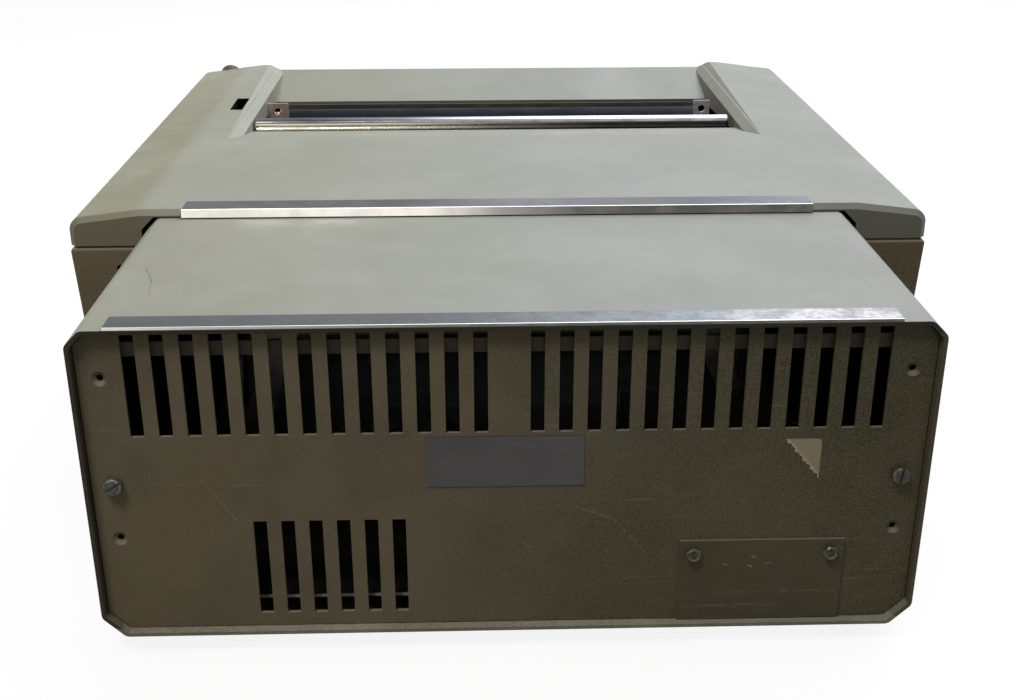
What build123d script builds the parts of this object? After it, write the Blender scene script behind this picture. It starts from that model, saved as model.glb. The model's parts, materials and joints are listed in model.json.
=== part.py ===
from build123d import *
import os
from math import cos, pi, radians, sin, tan

# Teleprinter with a separate control box behind it, in millimetres.
# +X is the operator's right, +Y the rear, +Z up; the origin is on the bench under the middle of the machine.
# "Reach" is the distance forward from the main casing's rear wall, "back" the distance forward from the
# control box's rear edge, and "height" is measured from the underside of the casings.

os.makedirs("parts", exist_ok=True)

# Main casing
BODY_WIDTH = 553.0
CREST_REACH = 465.0
KEYBOARD_REACH = 131.5
COVER_WALL = 3.8
SIDE_DRAFT = 8.0
REAR_DRAFT = 4.0
CASING_CORNER = 6.0
RIM_RADIUS = 3.0
FLOOR_CHAMFER = 2.5
LIP_THICKNESS = 1.5
LIP_GAP = 0.6
LIP_HEIGHT = 4.0
LIP_ROOT = 5.0
REAR_HOLE_INSET = 31.0
REAR_HOLE_BELOW_SEAM = 15.0
REAR_HOLE_RADIUS = 3.0
COVER_SKIRT = 24.0
SEAM_GAP = 0.8
SEAM_BEND_BEHIND_CREST = 24.0
FACE_LEAN = 22.4
CREST_RADIUS = 8.0
SHOULDER_FLAT = 462.0
SHOULDER_DROP = 5.6
SHOULDER_RADIUS = 9.0
RIDGE_RISE = 3.3
RIDGE_LEDGE = 0.8
RIDGE_TOP_WIDTH = 3.0
RIDGE_FOOT_X = 264.0
RIDGE_FOOT_DROP = 4.6
RIDGE_ROOT = 2.0
REAR_EDGE_CHAMFER = 3.4
DECK_HEIGHT = 84.0
DECK_SLOPE = 12.0
DECK_SKIRT = 12.0
NOSE_RADIUS = 6.0
NOSE_DRAFT = 6.0

# Paper trough and slot in the main cover
TROUGH_BEVEL = 7.0
TROUGH_BEVEL_DEPTH = 4.3
TROUGH_START = 185.0
SLOT_REAR = 247.5
SLOT_LENGTH = 147.5
SLOT_REAR_DEPTH = 9.6
SLOT_FRONT_DEPTH = 18.0
LID_CREST_DEPTH = 2.5
SLOT_SIDE_ROOM = 9.0

# Control box
BOX_WIDTH = 454.0
BOX_HEIGHT = 185.0
BOX_DEPTH = 190.0
BOX_OVERLAP = 12.0
BOX_WALL = 2.4
BOX_FLOOR = 3.8
RIM_POCKET_DEPTH = 12.0
BOX_TOP_CHAMFER = 8.4
BOX_FOOT_CHAMFER = 12.3
BOX_EDGE_RADIUS = 5.0
BOX_STEP = 5.0
BOX_SIDE_GAP = 3.0
BOX_TOP_GAP = 0.7

# Rear panel of the control box
PANEL_THICKNESS = 2.0
PANEL_RECESS = 5.3
PANEL_GAP = 0.6
VENT_WIDTH = 7.4
VENT_PITCH = 15.12
VENT_HEIGHT = 59.0
VENT_COUNT = 13
VENT_MIDDLE_HALF = 11.2
UPPER_VENT_RIM = 0.9
LOWER_VENT_COUNT = 6
LOWER_VENT_HEIGHT = 11.0
LOWER_VENT_X = 56.7
BRACKET_WIDTH = 20.0
BRACKET_LEG = 24.0
BRACKET_THICKNESS = 2.0
BRACKET_TOP = 174.0
PANEL_SCREW_RADIUS = 3.0
PANEL_SCREW_HEAD_RADIUS = 5.1
PANEL_SCREW_HEAD = 5.0
PANEL_SCREW_HEIGHT = 94.4
PANEL_SCREW_LENGTH = 10.0
SCREW_SLOT_WIDTH = 1.4
SCREW_SLOT_DEPTH = 1.6
SPARE_HOLE_RADIUS = 1.9
SPARE_DIMPLE_RADIUS = 4.2
SPARE_DIMPLE_DEPTH = 1.4
SPARE_HOLE_TOP_HEIGHT = 156.1
SPARE_HOLE_LOW_HEIGHT = 60.6
FIXING_INSET = 12.5
SPARE_INSET = 12.1
BLANK_WIDTH = 92.0
BLANK_HEIGHT = 51.2
BLANK_THICKNESS = 1.5
BLANK_X = -140.0
BLANK_SCREW_SPACING = 76.2
BLANK_SCREW_DROP = 7.7
BLANK_SCREW_RADIUS = 2.5
HEX_ACROSS_FLATS = 8.0
HEX_HEAD = 3.7
CONNECTOR_WIDTH = 60.0
CONNECTOR_HEIGHT = 22.0
PLATE_WIDTH = 85.0
PLATE_HEIGHT = 30.0
PLATE_THICKNESS = 0.6
PLATE_X = 2.3
PLATE_BASE_HEIGHT = 90.0

# Bright trim strips
TRIM_THICKNESS = 0.9
BOX_TRIM_THICKNESS = 1.8
BOX_TRIM_WIDTH = 16.0
BOX_TRIM_LENGTH = 409.4
BOX_TRIM_X = 1.8
COVER_TRIM_WIDTH = 17.5
COVER_TRIM_LENGTH = 404.1
COVER_TRIM_X = 1.4
COVER_TRIM_LIP = 5.2
COVER_TRIM_EDGE = 0.6

# Feet
FOOT_HEIGHT = 12.0
FOOT_RADIUS = 15.0
FOOT_TAPER = 2.5
FOOT_SCREW_RADIUS = 2.5
FOOT_SCREW_HEAD_RADIUS = 4.5
FOOT_SCREW_HEAD = 3.0
FOOT_SOLE = 4.0
FOOT_INSET_X = 50.0
FRONT_FOOT_INSET = 60.0
REAR_FOOT_REACH = 60.0
BOX_FOOT_BACK = 45.0

# Casing posts and their screws
POST_RADIUS = 6.0
POST_INSET = 16.0
POST_REAR_REACH = 30.0
POST_FRONT_BEHIND_BEND = 21.0
DECK_POST_REAR = 12.0
DECK_POST_FRONT = 18.0
POST_SCREW_RADIUS = 2.5
POST_SCREW_CLEARANCE = 0.3
POST_SCREW_HEAD_RADIUS = 4.2
POST_BORE_RADIUS = 4.8
POST_SCREW_HEAD = 4.0
POST_SEAT = 16.0
POST_THREAD = 10.0

# Chassis
RAIL_WIDTH = 40.0
RAIL_HEIGHT = 11.4
RAIL_WALL = 2.0
RAIL_REAR_BACK = 14.0
RAIL_FRONT_MARGIN = 8.0
CROSS_WIDTH = 24.0
CROSS_REACHES = (60.0, 226.0, 420.0)
SIDE_PLATE_THICKNESS = 2.5
SIDE_PLATE_REAR = 235.0
SIDE_PLATE_LENGTH = 222.0
SIDE_PLATE_FOOT = 12.0
SIDE_PLATE_SHOULDER = 45.0
SIDE_PLATE_CORNER = 6.0
PLATE_TOP_DROP = 24.0

# Platen and paper path
PLATEN_RADIUS = 20.0
PLATEN_LENGTH = 360.0
PLATEN_SIDE_GAP = 6.0
PLATEN_REACH = 355.0
PLATEN_DROP = 36.5
PLATEN_CORE_RADIUS = 14.0
SHAFT_RADIUS = 5.0
RUNNING_CLEARANCE = 0.05
BUSH_RADIUS = 8.0
BUSH_FLANGE_RADIUS = 10.5
BUSH_FLANGE = 1.5
GEAR_MODULE = 1.0
PLATEN_TEETH = 34
PINION_TEETH = 17
GEAR_WIDTH = 5.0
GEAR_GAP = 1.5
GEAR_BACKLASH_DROP = 0.1
FEED_MOTOR_RADIUS = 20.0
FEED_MOTOR_LENGTH = 34.0
FEED_BRACKET_GAP = 1.6
FEED_BRACKET_THICKNESS = 2.0
FEED_BRACKET_HALF = 26.0
MOTOR_SHAFT_RADIUS = 2.5
NIP_ROLLER_RADIUS = 8.0
NIP_SHAFT_RADIUS = 3.0
NIP_GAP = 0.3
NIP_ANGLE = 225.0
NIP_LENGTH = 40.0
NIP_COUNT = 3
NIP_PITCH = 120.0
SCALE_THICKNESS = 1.0
SCALE_HEIGHT = 9.5
SCALE_DROP = 18.5
SCALE_AHEAD = 29.0

# Bright rod and tear strip at the rear of the slot
ROD_RADIUS = 5.4
ROD_LENGTH = 390.4
ROD_X = 1.3
ROD_AHEAD_OF_SLOT = 18.0
STRIP_THICKNESS = 1.5
STRIP_BEHIND_SLOT = 10.0
STRIP_DROP = 13.8

# Clips beside the platen
LEFT_CLIP_X = (-191.2, -176.8)
RIGHT_CLIP_X = (178.0, 196.6)
CLIP_FOOT_X = (180.8, 189.4)
CLIP_LENGTH = 18.0
CLIP_THICKNESS = 1.5
CLIP_HOLE_RADIUS = 3.0
CLIP_DROP = 6.6
CLIP_BEHIND_PLATEN = 8.0

# Paper roll spindle
SPINDLE_REACH = 105.0
SPINDLE_HEIGHT = 100.0
SPINDLE_RADIUS = 6.0
SPINDLE_END = 8.0
SPINDLE_FLANGE_RADIUS = 34.0
SPINDLE_FLANGE_WIDTH = 10.0
SPINDLE_FLANGE_X = 112.0
SPINDLE_BRACKET_HALF = 24.0
SPINDLE_BRACKET_RISE = 12.0
SPINDLE_BRACKET_THICKNESS = 3.0
SPINDLE_BRACKET_CORNER = 3.0

# Print carriage
CARRIAGE_WIDTH = 60.0
CARRIAGE_DEPTH = 38.0
CARRIAGE_HEIGHT = 58.0
CARRIAGE_AHEAD = 50.0
CARRIAGE_TOP_DROP = 18.5
CARRIAGE_EDGE = 2.0
CARRIAGE_ROD_RADIUS = 5.0
CARRIAGE_ROD_SPACING = 34.0
CARRIAGE_ROD_REACH = 68.0
TYPE_RADIUS = 15.0
TYPE_HEIGHT = 14.0
TYPE_GAP = 1.0
TYPE_SHAFT_RADIUS = 3.0
TYPE_SHAFT_DEPTH = 20.0
TYPE_FACETS = 16
ARM_WIDTH = 16.0
ARM_THICKNESS = 5.0
BELT_RADIUS = 12.0
BELT_THICKNESS = 1.5
BELT_WIDTH = 6.0
BELT_GAP = 0.3
BELT_END_X = 166.0
BELT_AHEAD = 1.5
PULLEY_SHAFT_RADIUS = 2.5
BELT_BRACKET_THICKNESS = 2.0
BELT_BRACKET_HALF_HEIGHT = 16.0
CARRIAGE_MOTOR_RADIUS = 15.0
CARRIAGE_MOTOR_LENGTH = 24.0

# Ribbon spools
SPOOL_RADIUS = 26.0
SPOOL_HEIGHT = 13.0
SPOOL_HUB_RADIUS = 9.0
SPOOL_FLANGE = 1.2
SPOOL_X = 138.0
SPOOL_REACH = 434.0
SPOOL_PIN_RADIUS = 3.0
SHELF_THICKNESS = 1.5
SHELF_REACH_REAR = 412.0
SHELF_REACH_FRONT = 457.0
SHELF_X = 104.0
SHELF_ABOVE_CARRIAGE = 2.5
SPOOL_LIFT = 0.5

# Release lever in the right cheek
LEVER_SLOT_X = 213.4
LEVER_SLOT_WIDTH = 10.2
LEVER_SLOT_REAR = 279.0
LEVER_SLOT_LENGTH = 41.0
LEVER_THICKNESS = 2.0
LEVER_WIDTH = 12.0
LEVER_TOP_DROP = 6.0
LEVER_PIVOT_DROP = 72.0
LEVER_PIN_RADIUS = 3.0
LEVER_CORNER = 3.0
LEVER_BRACKET_THICKNESS = 3.0
LEVER_BRACKET_HALF = 11.0
LEVER_SIDE_GAP = 1.5

# Window in the front face
WINDOW_WIDTH = 410.0
WINDOW_TOP = 16.0
WINDOW_HEIGHT = 84.0
WINDOW_THICKNESS = 6.0
WINDOW_PROUD = 0.5
WINDOW_RIM = 15.0
WINDOW_GAP = 1.2
WINDOW_TOP_GAP = 2.0
WINDOW_CORNER = 4.0
PANE_THICKNESS = 3.0
PANE_REBATE = 3.0
HINGE_PIN_RADIUS = 1.8
HINGE_INSET = 3.0
HINGE_PIN_DEPTH = 7.0
HINGE_PAD = 8.0
TAB_WIDTH = 60.0
TAB_LENGTH = 6.0
TAB_PROUD = 6.0

# Knob on the front face
KNOB_RADIUS = 9.5
KNOB_LENGTH = 12.0
KNOB_INSET = 25.4
KNOB_BELOW_CREST = 15.0
KNOB_GAP = 1.0
KNOB_DISH_RADIUS = 6.5
KNOB_DISH_DEPTH = 1.5
KNOB_EDGE = 1.0
KNOB_SHAFT_RADIUS = 3.0
KNOB_HOLE_CLEARANCE = 0.5
SWITCH_RADIUS = 6.8
SWITCH_LENGTH = 16.0

# Keyboard
KEY_PITCH = 19.0
KEY_SIZE = 17.0
KEY_TAPER = 11.0
KEY_TOP = 7.0
KEY_SKIRT = 4.0
KEY_DISH_RADIUS = 22.0
KEY_DISH_DEPTH = 0.7
KEY_EDGE = 0.8
KEY_STEM = 5.0
KEY_STEM_LENGTH = 17.0
KEY_CLEARANCE = 0.5
KEY_LEFT_X = -114.0
KEY_ROWS = ("digit_key_row", "upper_key_row", "home_key_row", "lower_key_row")
KEY_COUNTS = (13, 12, 12, 10)
KEY_SHIFTS = (0.0, 9.5, 14.25, 23.75)
FIRST_ROW = 20.0
SPACE_BAR_WIDTH = 152.0
SPACE_BAR_EXTRA = 2.0
WELL_MARGIN = 3.0
KEYBOARD_WALL = 2.0
KEYBOARD_DEPTH = 34.0
KEY_PLATE_DROP = 14.0
KEY_PLATE = 2.0
BUTTON_SIZE = 14.0
BUTTON_TOP = 5.0
BUTTON_SKIRT = 6.0
BUTTON_PITCH = 24.0
BUTTON_INSET = 108.5
BUTTON_BACK = 39.0
BUTTON_STEM_LENGTH = 9.0
BUTTONS = ("call_button", "clear_button")
BUTTON_SLEEVE = 2.0
BUTTON_POCKET = 12.0

# Electronics
BASE_PLATE = 2.0
BASE_PLATE_MARGIN = 4.0
TRANSFORMER_SIZE = (96.0, 74.0, 84.0)
TRANSFORMER_X = -118.0
TRANSFORMER_BACK = 62.0
COIL_MARGIN = 9.0
STIFFENER_DEPTH = 12.0
STIFFENER_TALL = 8.0
STIFFENER_BACK = 10.4
STIFFENER_TOP = 174.6

# Sizes worked out from the ones above
TOP = BOX_HEIGHT + BOX_STEP
SEAM = TOP - COVER_SKIRT
BODY_HALF = BODY_WIDTH / 2
BOX_HALF = BOX_WIDTH / 2
REAR_HOLE_X = BODY_HALF - REAR_HOLE_INSET
KNOB_X = BODY_HALF - KNOB_INSET
BUTTON_X = BODY_HALF - BUTTON_INSET
FLAT_HALF = SHOULDER_FLAT / 2
FACE_TAN = tan(radians(FACE_LEAN))
DECK_TAN = tan(radians(DECK_SLOPE))
FACE_FOOT = CREST_REACH + (TOP - DECK_HEIGHT) * FACE_TAN
NOSE = FACE_FOOT + KEYBOARD_REACH
SEAM_BEND = CREST_REACH - SEAM_BEND_BEHIND_CREST
SLOT_FRONT = SLOT_REAR + SLOT_LENGTH
UNDER_DECK = COVER_WALL * cos(radians(DECK_SLOPE))
BOX_REAR_Y = (NOSE + BOX_DEPTH) / 2
MAIN_REAR_Y = BOX_REAR_Y - BOX_DEPTH
RAIL_TOP = COVER_WALL + RAIL_HEIGHT
SIDE_X = PLATEN_LENGTH / 2 + PLATEN_SIDE_GAP
SIDE_OUT_X = SIDE_X + SIDE_PLATE_THICKNESS
SLOT_HALF = SIDE_OUT_X + SLOT_SIDE_ROOM
PLATEN_HEIGHT = TOP - PLATEN_DROP
PLATEN_PITCH_RADIUS = PLATEN_TEETH * GEAR_MODULE / 2
PINION_PITCH_RADIUS = PINION_TEETH * GEAR_MODULE / 2
PINION_HEIGHT = PLATEN_HEIGHT - PLATEN_PITCH_RADIUS - PINION_PITCH_RADIUS - GEAR_BACKLASH_DROP
GEAR_X = SIDE_OUT_X + GEAR_GAP
FEED_BRACKET_X = GEAR_X + GEAR_WIDTH + FEED_BRACKET_GAP
STRIP_TOP = TOP - STRIP_DROP
STRIP_FLOOR = STRIP_TOP - STRIP_THICKNESS
ROD_REACH = SLOT_REAR + ROD_AHEAD_OF_SLOT
PLATE_TOP = TOP - PLATE_TOP_DROP
CARRIAGE_TOP = PLATEN_HEIGHT - CARRIAGE_TOP_DROP
CARRIAGE_REAR = PLATEN_REACH + CARRIAGE_AHEAD
CARRIAGE_FRONT = CARRIAGE_REAR + CARRIAGE_DEPTH
UPPER_ROD_HEIGHT = CARRIAGE_TOP - (CARRIAGE_HEIGHT - CARRIAGE_ROD_SPACING) / 2
LOWER_ROD_HEIGHT = UPPER_ROD_HEIGHT - CARRIAGE_ROD_SPACING
ROD_LINE = PLATEN_REACH + CARRIAGE_ROD_REACH
BELT_HEIGHT = (UPPER_ROD_HEIGHT + LOWER_ROD_HEIGHT) / 2
BELT_REAR = CARRIAGE_FRONT + BELT_AHEAD
BELT_FRONT = BELT_REAR + BELT_WIDTH
TYPE_REACH = PLATEN_REACH + PLATEN_RADIUS + TYPE_GAP + TYPE_RADIUS
SHELF_HEIGHT = CARRIAGE_TOP + SHELF_ABOVE_CARRIAGE
SPOOL_BASE = SHELF_HEIGHT + SHELF_THICKNESS + SPOOL_LIFT
LEVER_PIVOT_HEIGHT = TOP - LEVER_PIVOT_DROP
LEVER_REACH = LEVER_SLOT_REAR + LEVER_SLOT_LENGTH / 2
LEVER_X = LEVER_SLOT_X - LEVER_SLOT_WIDTH / 2 + LEVER_SIDE_GAP
BASE_TOP = RAIL_TOP + BASE_PLATE
PANEL_FRONT = PANEL_RECESS + PANEL_THICKNESS
FIXING_X = BOX_HALF - BOX_WALL - FIXING_INSET
SPARE_X = BOX_HALF - BOX_WALL - SPARE_INSET
SPACE_ROW = FIRST_ROW + len(KEY_ROWS) * KEY_PITCH + SPACE_BAR_EXTRA
WELL_REAR = FIRST_ROW - KEY_SIZE / 2 - WELL_MARGIN
WELL_FRONT = SPACE_ROW + KEY_SIZE / 2 + WELL_MARGIN
WELL_LEFT = KEY_LEFT_X - KEY_SIZE / 2 - WELL_MARGIN
WELL_RIGHT = KEY_LEFT_X + max((n - 1) * KEY_PITCH + shift for n, shift in zip(KEY_COUNTS, KEY_SHIFTS))
WELL_RIGHT = WELL_RIGHT + KEY_SIZE / 2 + WELL_MARGIN


def main_y(reach):
    """Y of a distance forward from the main casing's rear wall."""
    return MAIN_REAR_Y - reach


def box_y(back):
    """Y of a distance forward from the control box's rear edge."""
    return BOX_REAR_Y - back


def level(height):
    """Z of a height above the underside of the casings."""
    return height + FOOT_HEIGHT


FACE = Pos(0, main_y(CREST_REACH), level(TOP)) * Rot(90 - FACE_LEAN, 0, 0)
DECK = Pos(0, main_y(FACE_FOOT), level(DECK_HEIGHT)) * Rot(DECK_SLOPE, 0, 0)


def face_reach(height):
    """Reach of the leaning front face at a height."""
    return CREST_REACH + (TOP - height) * FACE_TAN


def seam_reach(height):
    """Reach of the leaning part of the side seam at a height."""
    return SEAM_BEND + (SEAM - height) * FACE_TAN


def deck_height(reach):
    """Height of the keyboard deck at a reach."""
    return DECK_HEIGHT - (reach - FACE_FOOT) * DECK_TAN


def save(name, *solids):
    """Write one sub-part, whose solids stay separate."""
    shape = solids[0] if len(solids) == 1 else Compound(children=list(solids))
    export_step(shape, f"parts/{name}.step")


def cuboid(xs, ys, zs):
    """Box between pairs of X, Y and Z."""
    x, y, z = sorted(xs), sorted(ys), sorted(zs)
    centre = Pos((x[0] + x[1]) / 2, (y[0] + y[1]) / 2, (z[0] + z[1]) / 2)
    return centre * Box(x[1] - x[0], y[1] - y[0], z[1] - z[0])


def block(xs, reaches, heights, y_of=main_y):
    """Box between pairs of X, reach and height."""
    return cuboid(xs, [y_of(r) for r in reaches], [level(h) for h in heights])


def outline(points):
    """Face from 3-D corners, each with its rounding radius."""
    corners = [point for point, radius in points]
    return make_face(FilletPolyline(*corners, radius=[radius for point, radius in points], close=True))


def side_prism(points, x0, x1, y_of=main_y):
    """Solid from x0 to x1 whose side view has (reach, height[, radius]) corners."""
    corners = [((x0, y_of(p[0]), level(p[1])), p[2] if len(p) > 2 else 0) for p in points]
    return extrude(outline(corners), amount=x1 - x0, dir=(1, 0, 0))


def front_prism(points, y0, y1):
    """Solid from y0 back to y1 whose front view has (x, height[, radius]) corners."""
    corners = [((p[0], y0, level(p[1])), p[2] if len(p) > 2 else 0) for p in points]
    return extrude(outline(corners), amount=y1 - y0, dir=(0, 1, 0))


def rod_x(reach, height, radius, x0, x1, y_of=main_y):
    """Round bar along X."""
    place = Pos((x0 + x1) / 2, y_of(reach), level(height)) * Rot(0, 90, 0)
    return place * Cylinder(radius, abs(x1 - x0))


def rod_y(x, height, radius, y0, y1):
    """Round bar along Y."""
    return Pos(x, (y0 + y1) / 2, level(height)) * Rot(90, 0, 0) * Cylinder(radius, abs(y1 - y0))


def rod_z(x, y, radius, h0, h1):
    """Upright round bar."""
    return Pos(x, y, level((h0 + h1) / 2)) * Cylinder(radius, abs(h1 - h0))


def mirrored(points):
    """Closed outline from its right half."""
    left = [(-p[0],) + tuple(p[1:]) for p in reversed(points)]
    return points + left


def casing_section(inset):
    """Front view of the whole main casing, moved inwards by a wall."""
    radius = max(SHOULDER_RADIUS - inset, 1.0)
    foot_radius = max(CASING_CORNER - inset, 1.0)
    return mirrored([
        (BODY_HALF - SIDE_DRAFT - inset, inset, foot_radius),
        (BODY_HALF - inset, SEAM),
        (BODY_HALF - inset, TOP - SHOULDER_DROP - inset, radius),
        (FLAT_HALF, TOP - inset),
    ])


def casing_bar(inset):
    """The casing's section run through the whole machine."""
    return front_prism(casing_section(inset), main_y(NOSE + POST_RADIUS), main_y(-POST_RADIUS))


def tray_bar(inset):
    """Front section of the lower casing alone, with its drafted sides run on past the seam."""
    low = BODY_HALF - SIDE_DRAFT
    high = low + SIDE_DRAFT * TOP / SEAM
    points = mirrored([(low - inset, inset, max(CASING_CORNER - inset, 1.0)), (high - inset, TOP)])
    return front_prism(points, main_y(NOSE + POST_RADIUS), main_y(-POST_RADIUS))


def trough_tool(grow):
    """What the paper trough takes out of the cover, or with a wall's growth, out of its underside."""
    floor = [
        (TROUGH_START, TOP - grow),
        (SLOT_REAR, TOP - SLOT_REAR_DEPTH - grow),
        (SLOT_FRONT, TOP - SLOT_FRONT_DEPTH - grow),
        (CREST_REACH - LID_CREST_DEPTH, TOP - LID_CREST_DEPTH - grow),
        (NOSE, TOP - LID_CREST_DEPTH - grow),
        (NOSE, TOP + TROUGH_BEVEL),
        (TROUGH_START, TOP + TROUGH_BEVEL),
    ]
    half = SLOT_HALF + grow
    section = mirrored([
        (half, TOP - 3 * SLOT_FRONT_DEPTH),
        (half, TOP - TROUGH_BEVEL_DEPTH - grow),
        (half + TROUGH_BEVEL, TOP - grow),
        (half + TROUGH_BEVEL, TOP + TROUGH_BEVEL),
    ])
    wide = side_prism(floor, -BODY_HALF, BODY_HALF)
    return wide & front_prism(section, main_y(NOSE), main_y(0))


def box_section(grow):
    """Front view of the control box, grown or shrunk all round."""
    half = BOX_HALF + grow
    top = BOX_HEIGHT + grow
    bend = grow * tan(pi / 8)
    return mirrored([
        (half - BOX_FOOT_CHAMFER - bend, -grow),
        (half, BOX_FOOT_CHAMFER + bend - grow),
        (half, top - BOX_TOP_CHAMFER - bend),
        (half - BOX_TOP_CHAMFER - bend, top),
    ])


def box_cutout():
    """Passage through the main casing's rear wall for the front end of the control box."""
    half = BOX_HALF + BOX_SIDE_GAP
    top = BOX_HEIGHT + BOX_TOP_GAP
    points = mirrored([
        (half, -CASING_CORNER),
        (half, top - BOX_TOP_CHAMFER),
        (half - BOX_TOP_CHAMFER, top),
    ])
    return front_prism(points, main_y(BOX_OVERLAP + BOX_SIDE_GAP), main_y(-BOX_SIDE_GAP))


def casing_posts():
    """X, reach and top height of every post that joins an upper moulding to the lower casing."""
    x = BODY_HALF - POST_INSET
    cover = [(POST_REAR_REACH, SEAM), (SEAM_BEND - POST_FRONT_BEHIND_BEND, SEAM)]
    rear = FACE_FOOT + DECK_POST_REAR
    front = NOSE - DECK_POST_FRONT
    deck = [(r, deck_height(r) - DECK_SKIRT) for r in (rear, front)]
    return [(side * x, reach, top) for side in (-1, 1) for reach, top in cover + deck]


def post(x, reach, low, high, radius=POST_RADIUS):
    return rod_z(x, main_y(reach), radius, low, high)


def in_deck(xs, backs, ups):
    """Box in the keyboard deck's own frame, with distances forward down the deck."""
    return DECK * cuboid(xs, [-b for b in backs], ups)


def in_face(xs, downs, outs):
    """Box in the front face's own frame, with distances down from the crest."""
    return FACE * cuboid(xs, [-d for d in downs], outs)


def crest_ridges():
    """Low ridges beside the trough that rise towards the crest."""
    run = CREST_REACH - TROUGH_START
    start = TROUGH_START - RIDGE_ROOT * run / RIDGE_RISE
    profile = side_prism([
        (start, TOP - RIDGE_ROOT),
        (face_reach(TOP + RIDGE_RISE), TOP + RIDGE_RISE, CREST_RADIUS),
        (face_reach(TOP - RIDGE_ROOT - CREST_RADIUS), TOP - RIDGE_ROOT - CREST_RADIUS),
        (start, TOP - RIDGE_ROOT - CREST_RADIUS),
    ], -BODY_HALF, BODY_HALF)
    inner = SLOT_HALF + TROUGH_BEVEL + RIDGE_LEDGE
    slope = RIDGE_RISE * TROUGH_BEVEL / TROUGH_BEVEL_DEPTH
    ridges = []
    for side in (-1, 1):
        section = front_prism([
            (side * inner, TOP - RIDGE_ROOT),
            (side * inner, TOP),
            (side * (inner + slope), TOP + RIDGE_RISE),
            (side * (inner + slope + RIDGE_TOP_WIDTH), TOP + RIDGE_RISE),
            (side * RIDGE_FOOT_X, TOP - RIDGE_FOOT_DROP),
            (side * FLAT_HALF, TOP - RIDGE_ROOT),
        ], main_y(NOSE), main_y(0))
        ridges.append(profile & section)
    return ridges


def top_cover():
    """Main cover: one moulding with the paper trough, slot, lever slot and window opening."""
    side = [
        (0, SEAM + SEAM_GAP),
        (0, TOP),
        (CREST_REACH, TOP, CREST_RADIUS),
        (face_reach(DECK_HEIGHT + SEAM_GAP), DECK_HEIGHT + SEAM_GAP),
        (seam_reach(DECK_HEIGHT + SEAM_GAP) + SEAM_GAP, DECK_HEIGHT + SEAM_GAP),
        (SEAM_BEND + SEAM_GAP, SEAM + SEAM_GAP),
    ]
    outer = side_prism(side, -BODY_HALF, BODY_HALF) & casing_bar(0)
    rear_edges = [
        e for e in outer.edges()
        if abs(e.center().Y - main_y(0)) < 0.01 and e.center().Z > level(SEAM + 3 * SEAM_GAP)
    ]
    rear_edges = [e for e in rear_edges if abs(e.center().X) < BODY_HALF - 0.5]
    outer = chamfer(rear_edges, REAR_EDGE_CHAMFER)
    for ridge in crest_ridges():
        outer = outer + ridge
    wall_run = COVER_WALL / cos(radians(FACE_LEAN))
    low = DECK_HEIGHT - DECK_SKIRT
    hollow = side_prism([
        (COVER_WALL, low),
        (COVER_WALL, TOP - COVER_WALL),
        (face_reach(TOP - COVER_WALL) - wall_run, TOP - COVER_WALL, CREST_RADIUS - COVER_WALL),
        (face_reach(low) - wall_run, low),
    ], -BODY_HALF, BODY_HALF) & casing_bar(COVER_WALL)
    shell = (outer - trough_tool(0)) - (hollow - trough_tool(COVER_WALL))
    slot = block((-SLOT_HALF, SLOT_HALF), (SLOT_REAR, SLOT_FRONT), (TOP - 2 * SLOT_FRONT_DEPTH, TOP))
    shell = shell - slot - box_cutout()
    half_slot = LEVER_SLOT_WIDTH / 2
    shell = shell - block(
        (LEVER_SLOT_X - half_slot, LEVER_SLOT_X + half_slot),
        (LEVER_SLOT_REAR, LEVER_SLOT_REAR + LEVER_SLOT_LENGTH),
        (TOP - 2 * COVER_WALL, TOP + COVER_WALL),
    )
    half = WINDOW_WIDTH / 2 + WINDOW_GAP
    window_low = WINDOW_TOP + WINDOW_HEIGHT + WINDOW_GAP
    pin_down, pin_out = hinge_line()
    for side in (-1, 1):
        xs = (side * half, side * (half + HINGE_PIN_DEPTH + HINGE_PIN_RADIUS))
        pad = in_face(xs, (pin_down - HINGE_PAD / 2, pin_down + HINGE_PAD / 2), (-HINGE_PAD, -COVER_WALL / 2))
        shell = shell + pad
    shell = shell - in_face((-half, half), (WINDOW_TOP - WINDOW_TOP_GAP, window_low), (-2 * HINGE_PAD, HINGE_PAD))
    shell = shell - hinge_pins(HINGE_PIN_RADIUS)
    shell = shell - knob_bar(KNOB_SHAFT_RADIUS + KNOB_HOLE_CLEARANCE, -2 * COVER_WALL, COVER_WALL)
    for x, reach, top in casing_posts():
        if top == SEAM:
            shell = shell + (post(x, reach, SEAM, TOP) & outer) + post(x, reach, SEAM, SEAM + 2 * SEAM_GAP)
            shell = shell - post(x, reach, SEAM - POST_THREAD, SEAM + POST_THREAD, POST_SCREW_RADIUS)
    return shell


def locating_lip():
    """Lip round the inside of the lower casing's rim that the main cover drops over."""
    inner = COVER_WALL + LIP_GAP + LIP_THICKNESS
    pieces = []
    for outset, low, high in ((COVER_WALL / 2, SEAM - LIP_ROOT, SEAM), (COVER_WALL + LIP_GAP, SEAM, SEAM + LIP_HEIGHT)):
        heights = (low, high)
        band = block((-BODY_HALF, BODY_HALF), (outset, SEAM_BEND - COVER_WALL), heights) & tray_bar(outset)
        core = block((-BODY_HALF, BODY_HALF), (inner, SEAM_BEND), heights) & tray_bar(inner)
        pieces.append(band - core)
    return pieces[0] + pieces[1]


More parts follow.
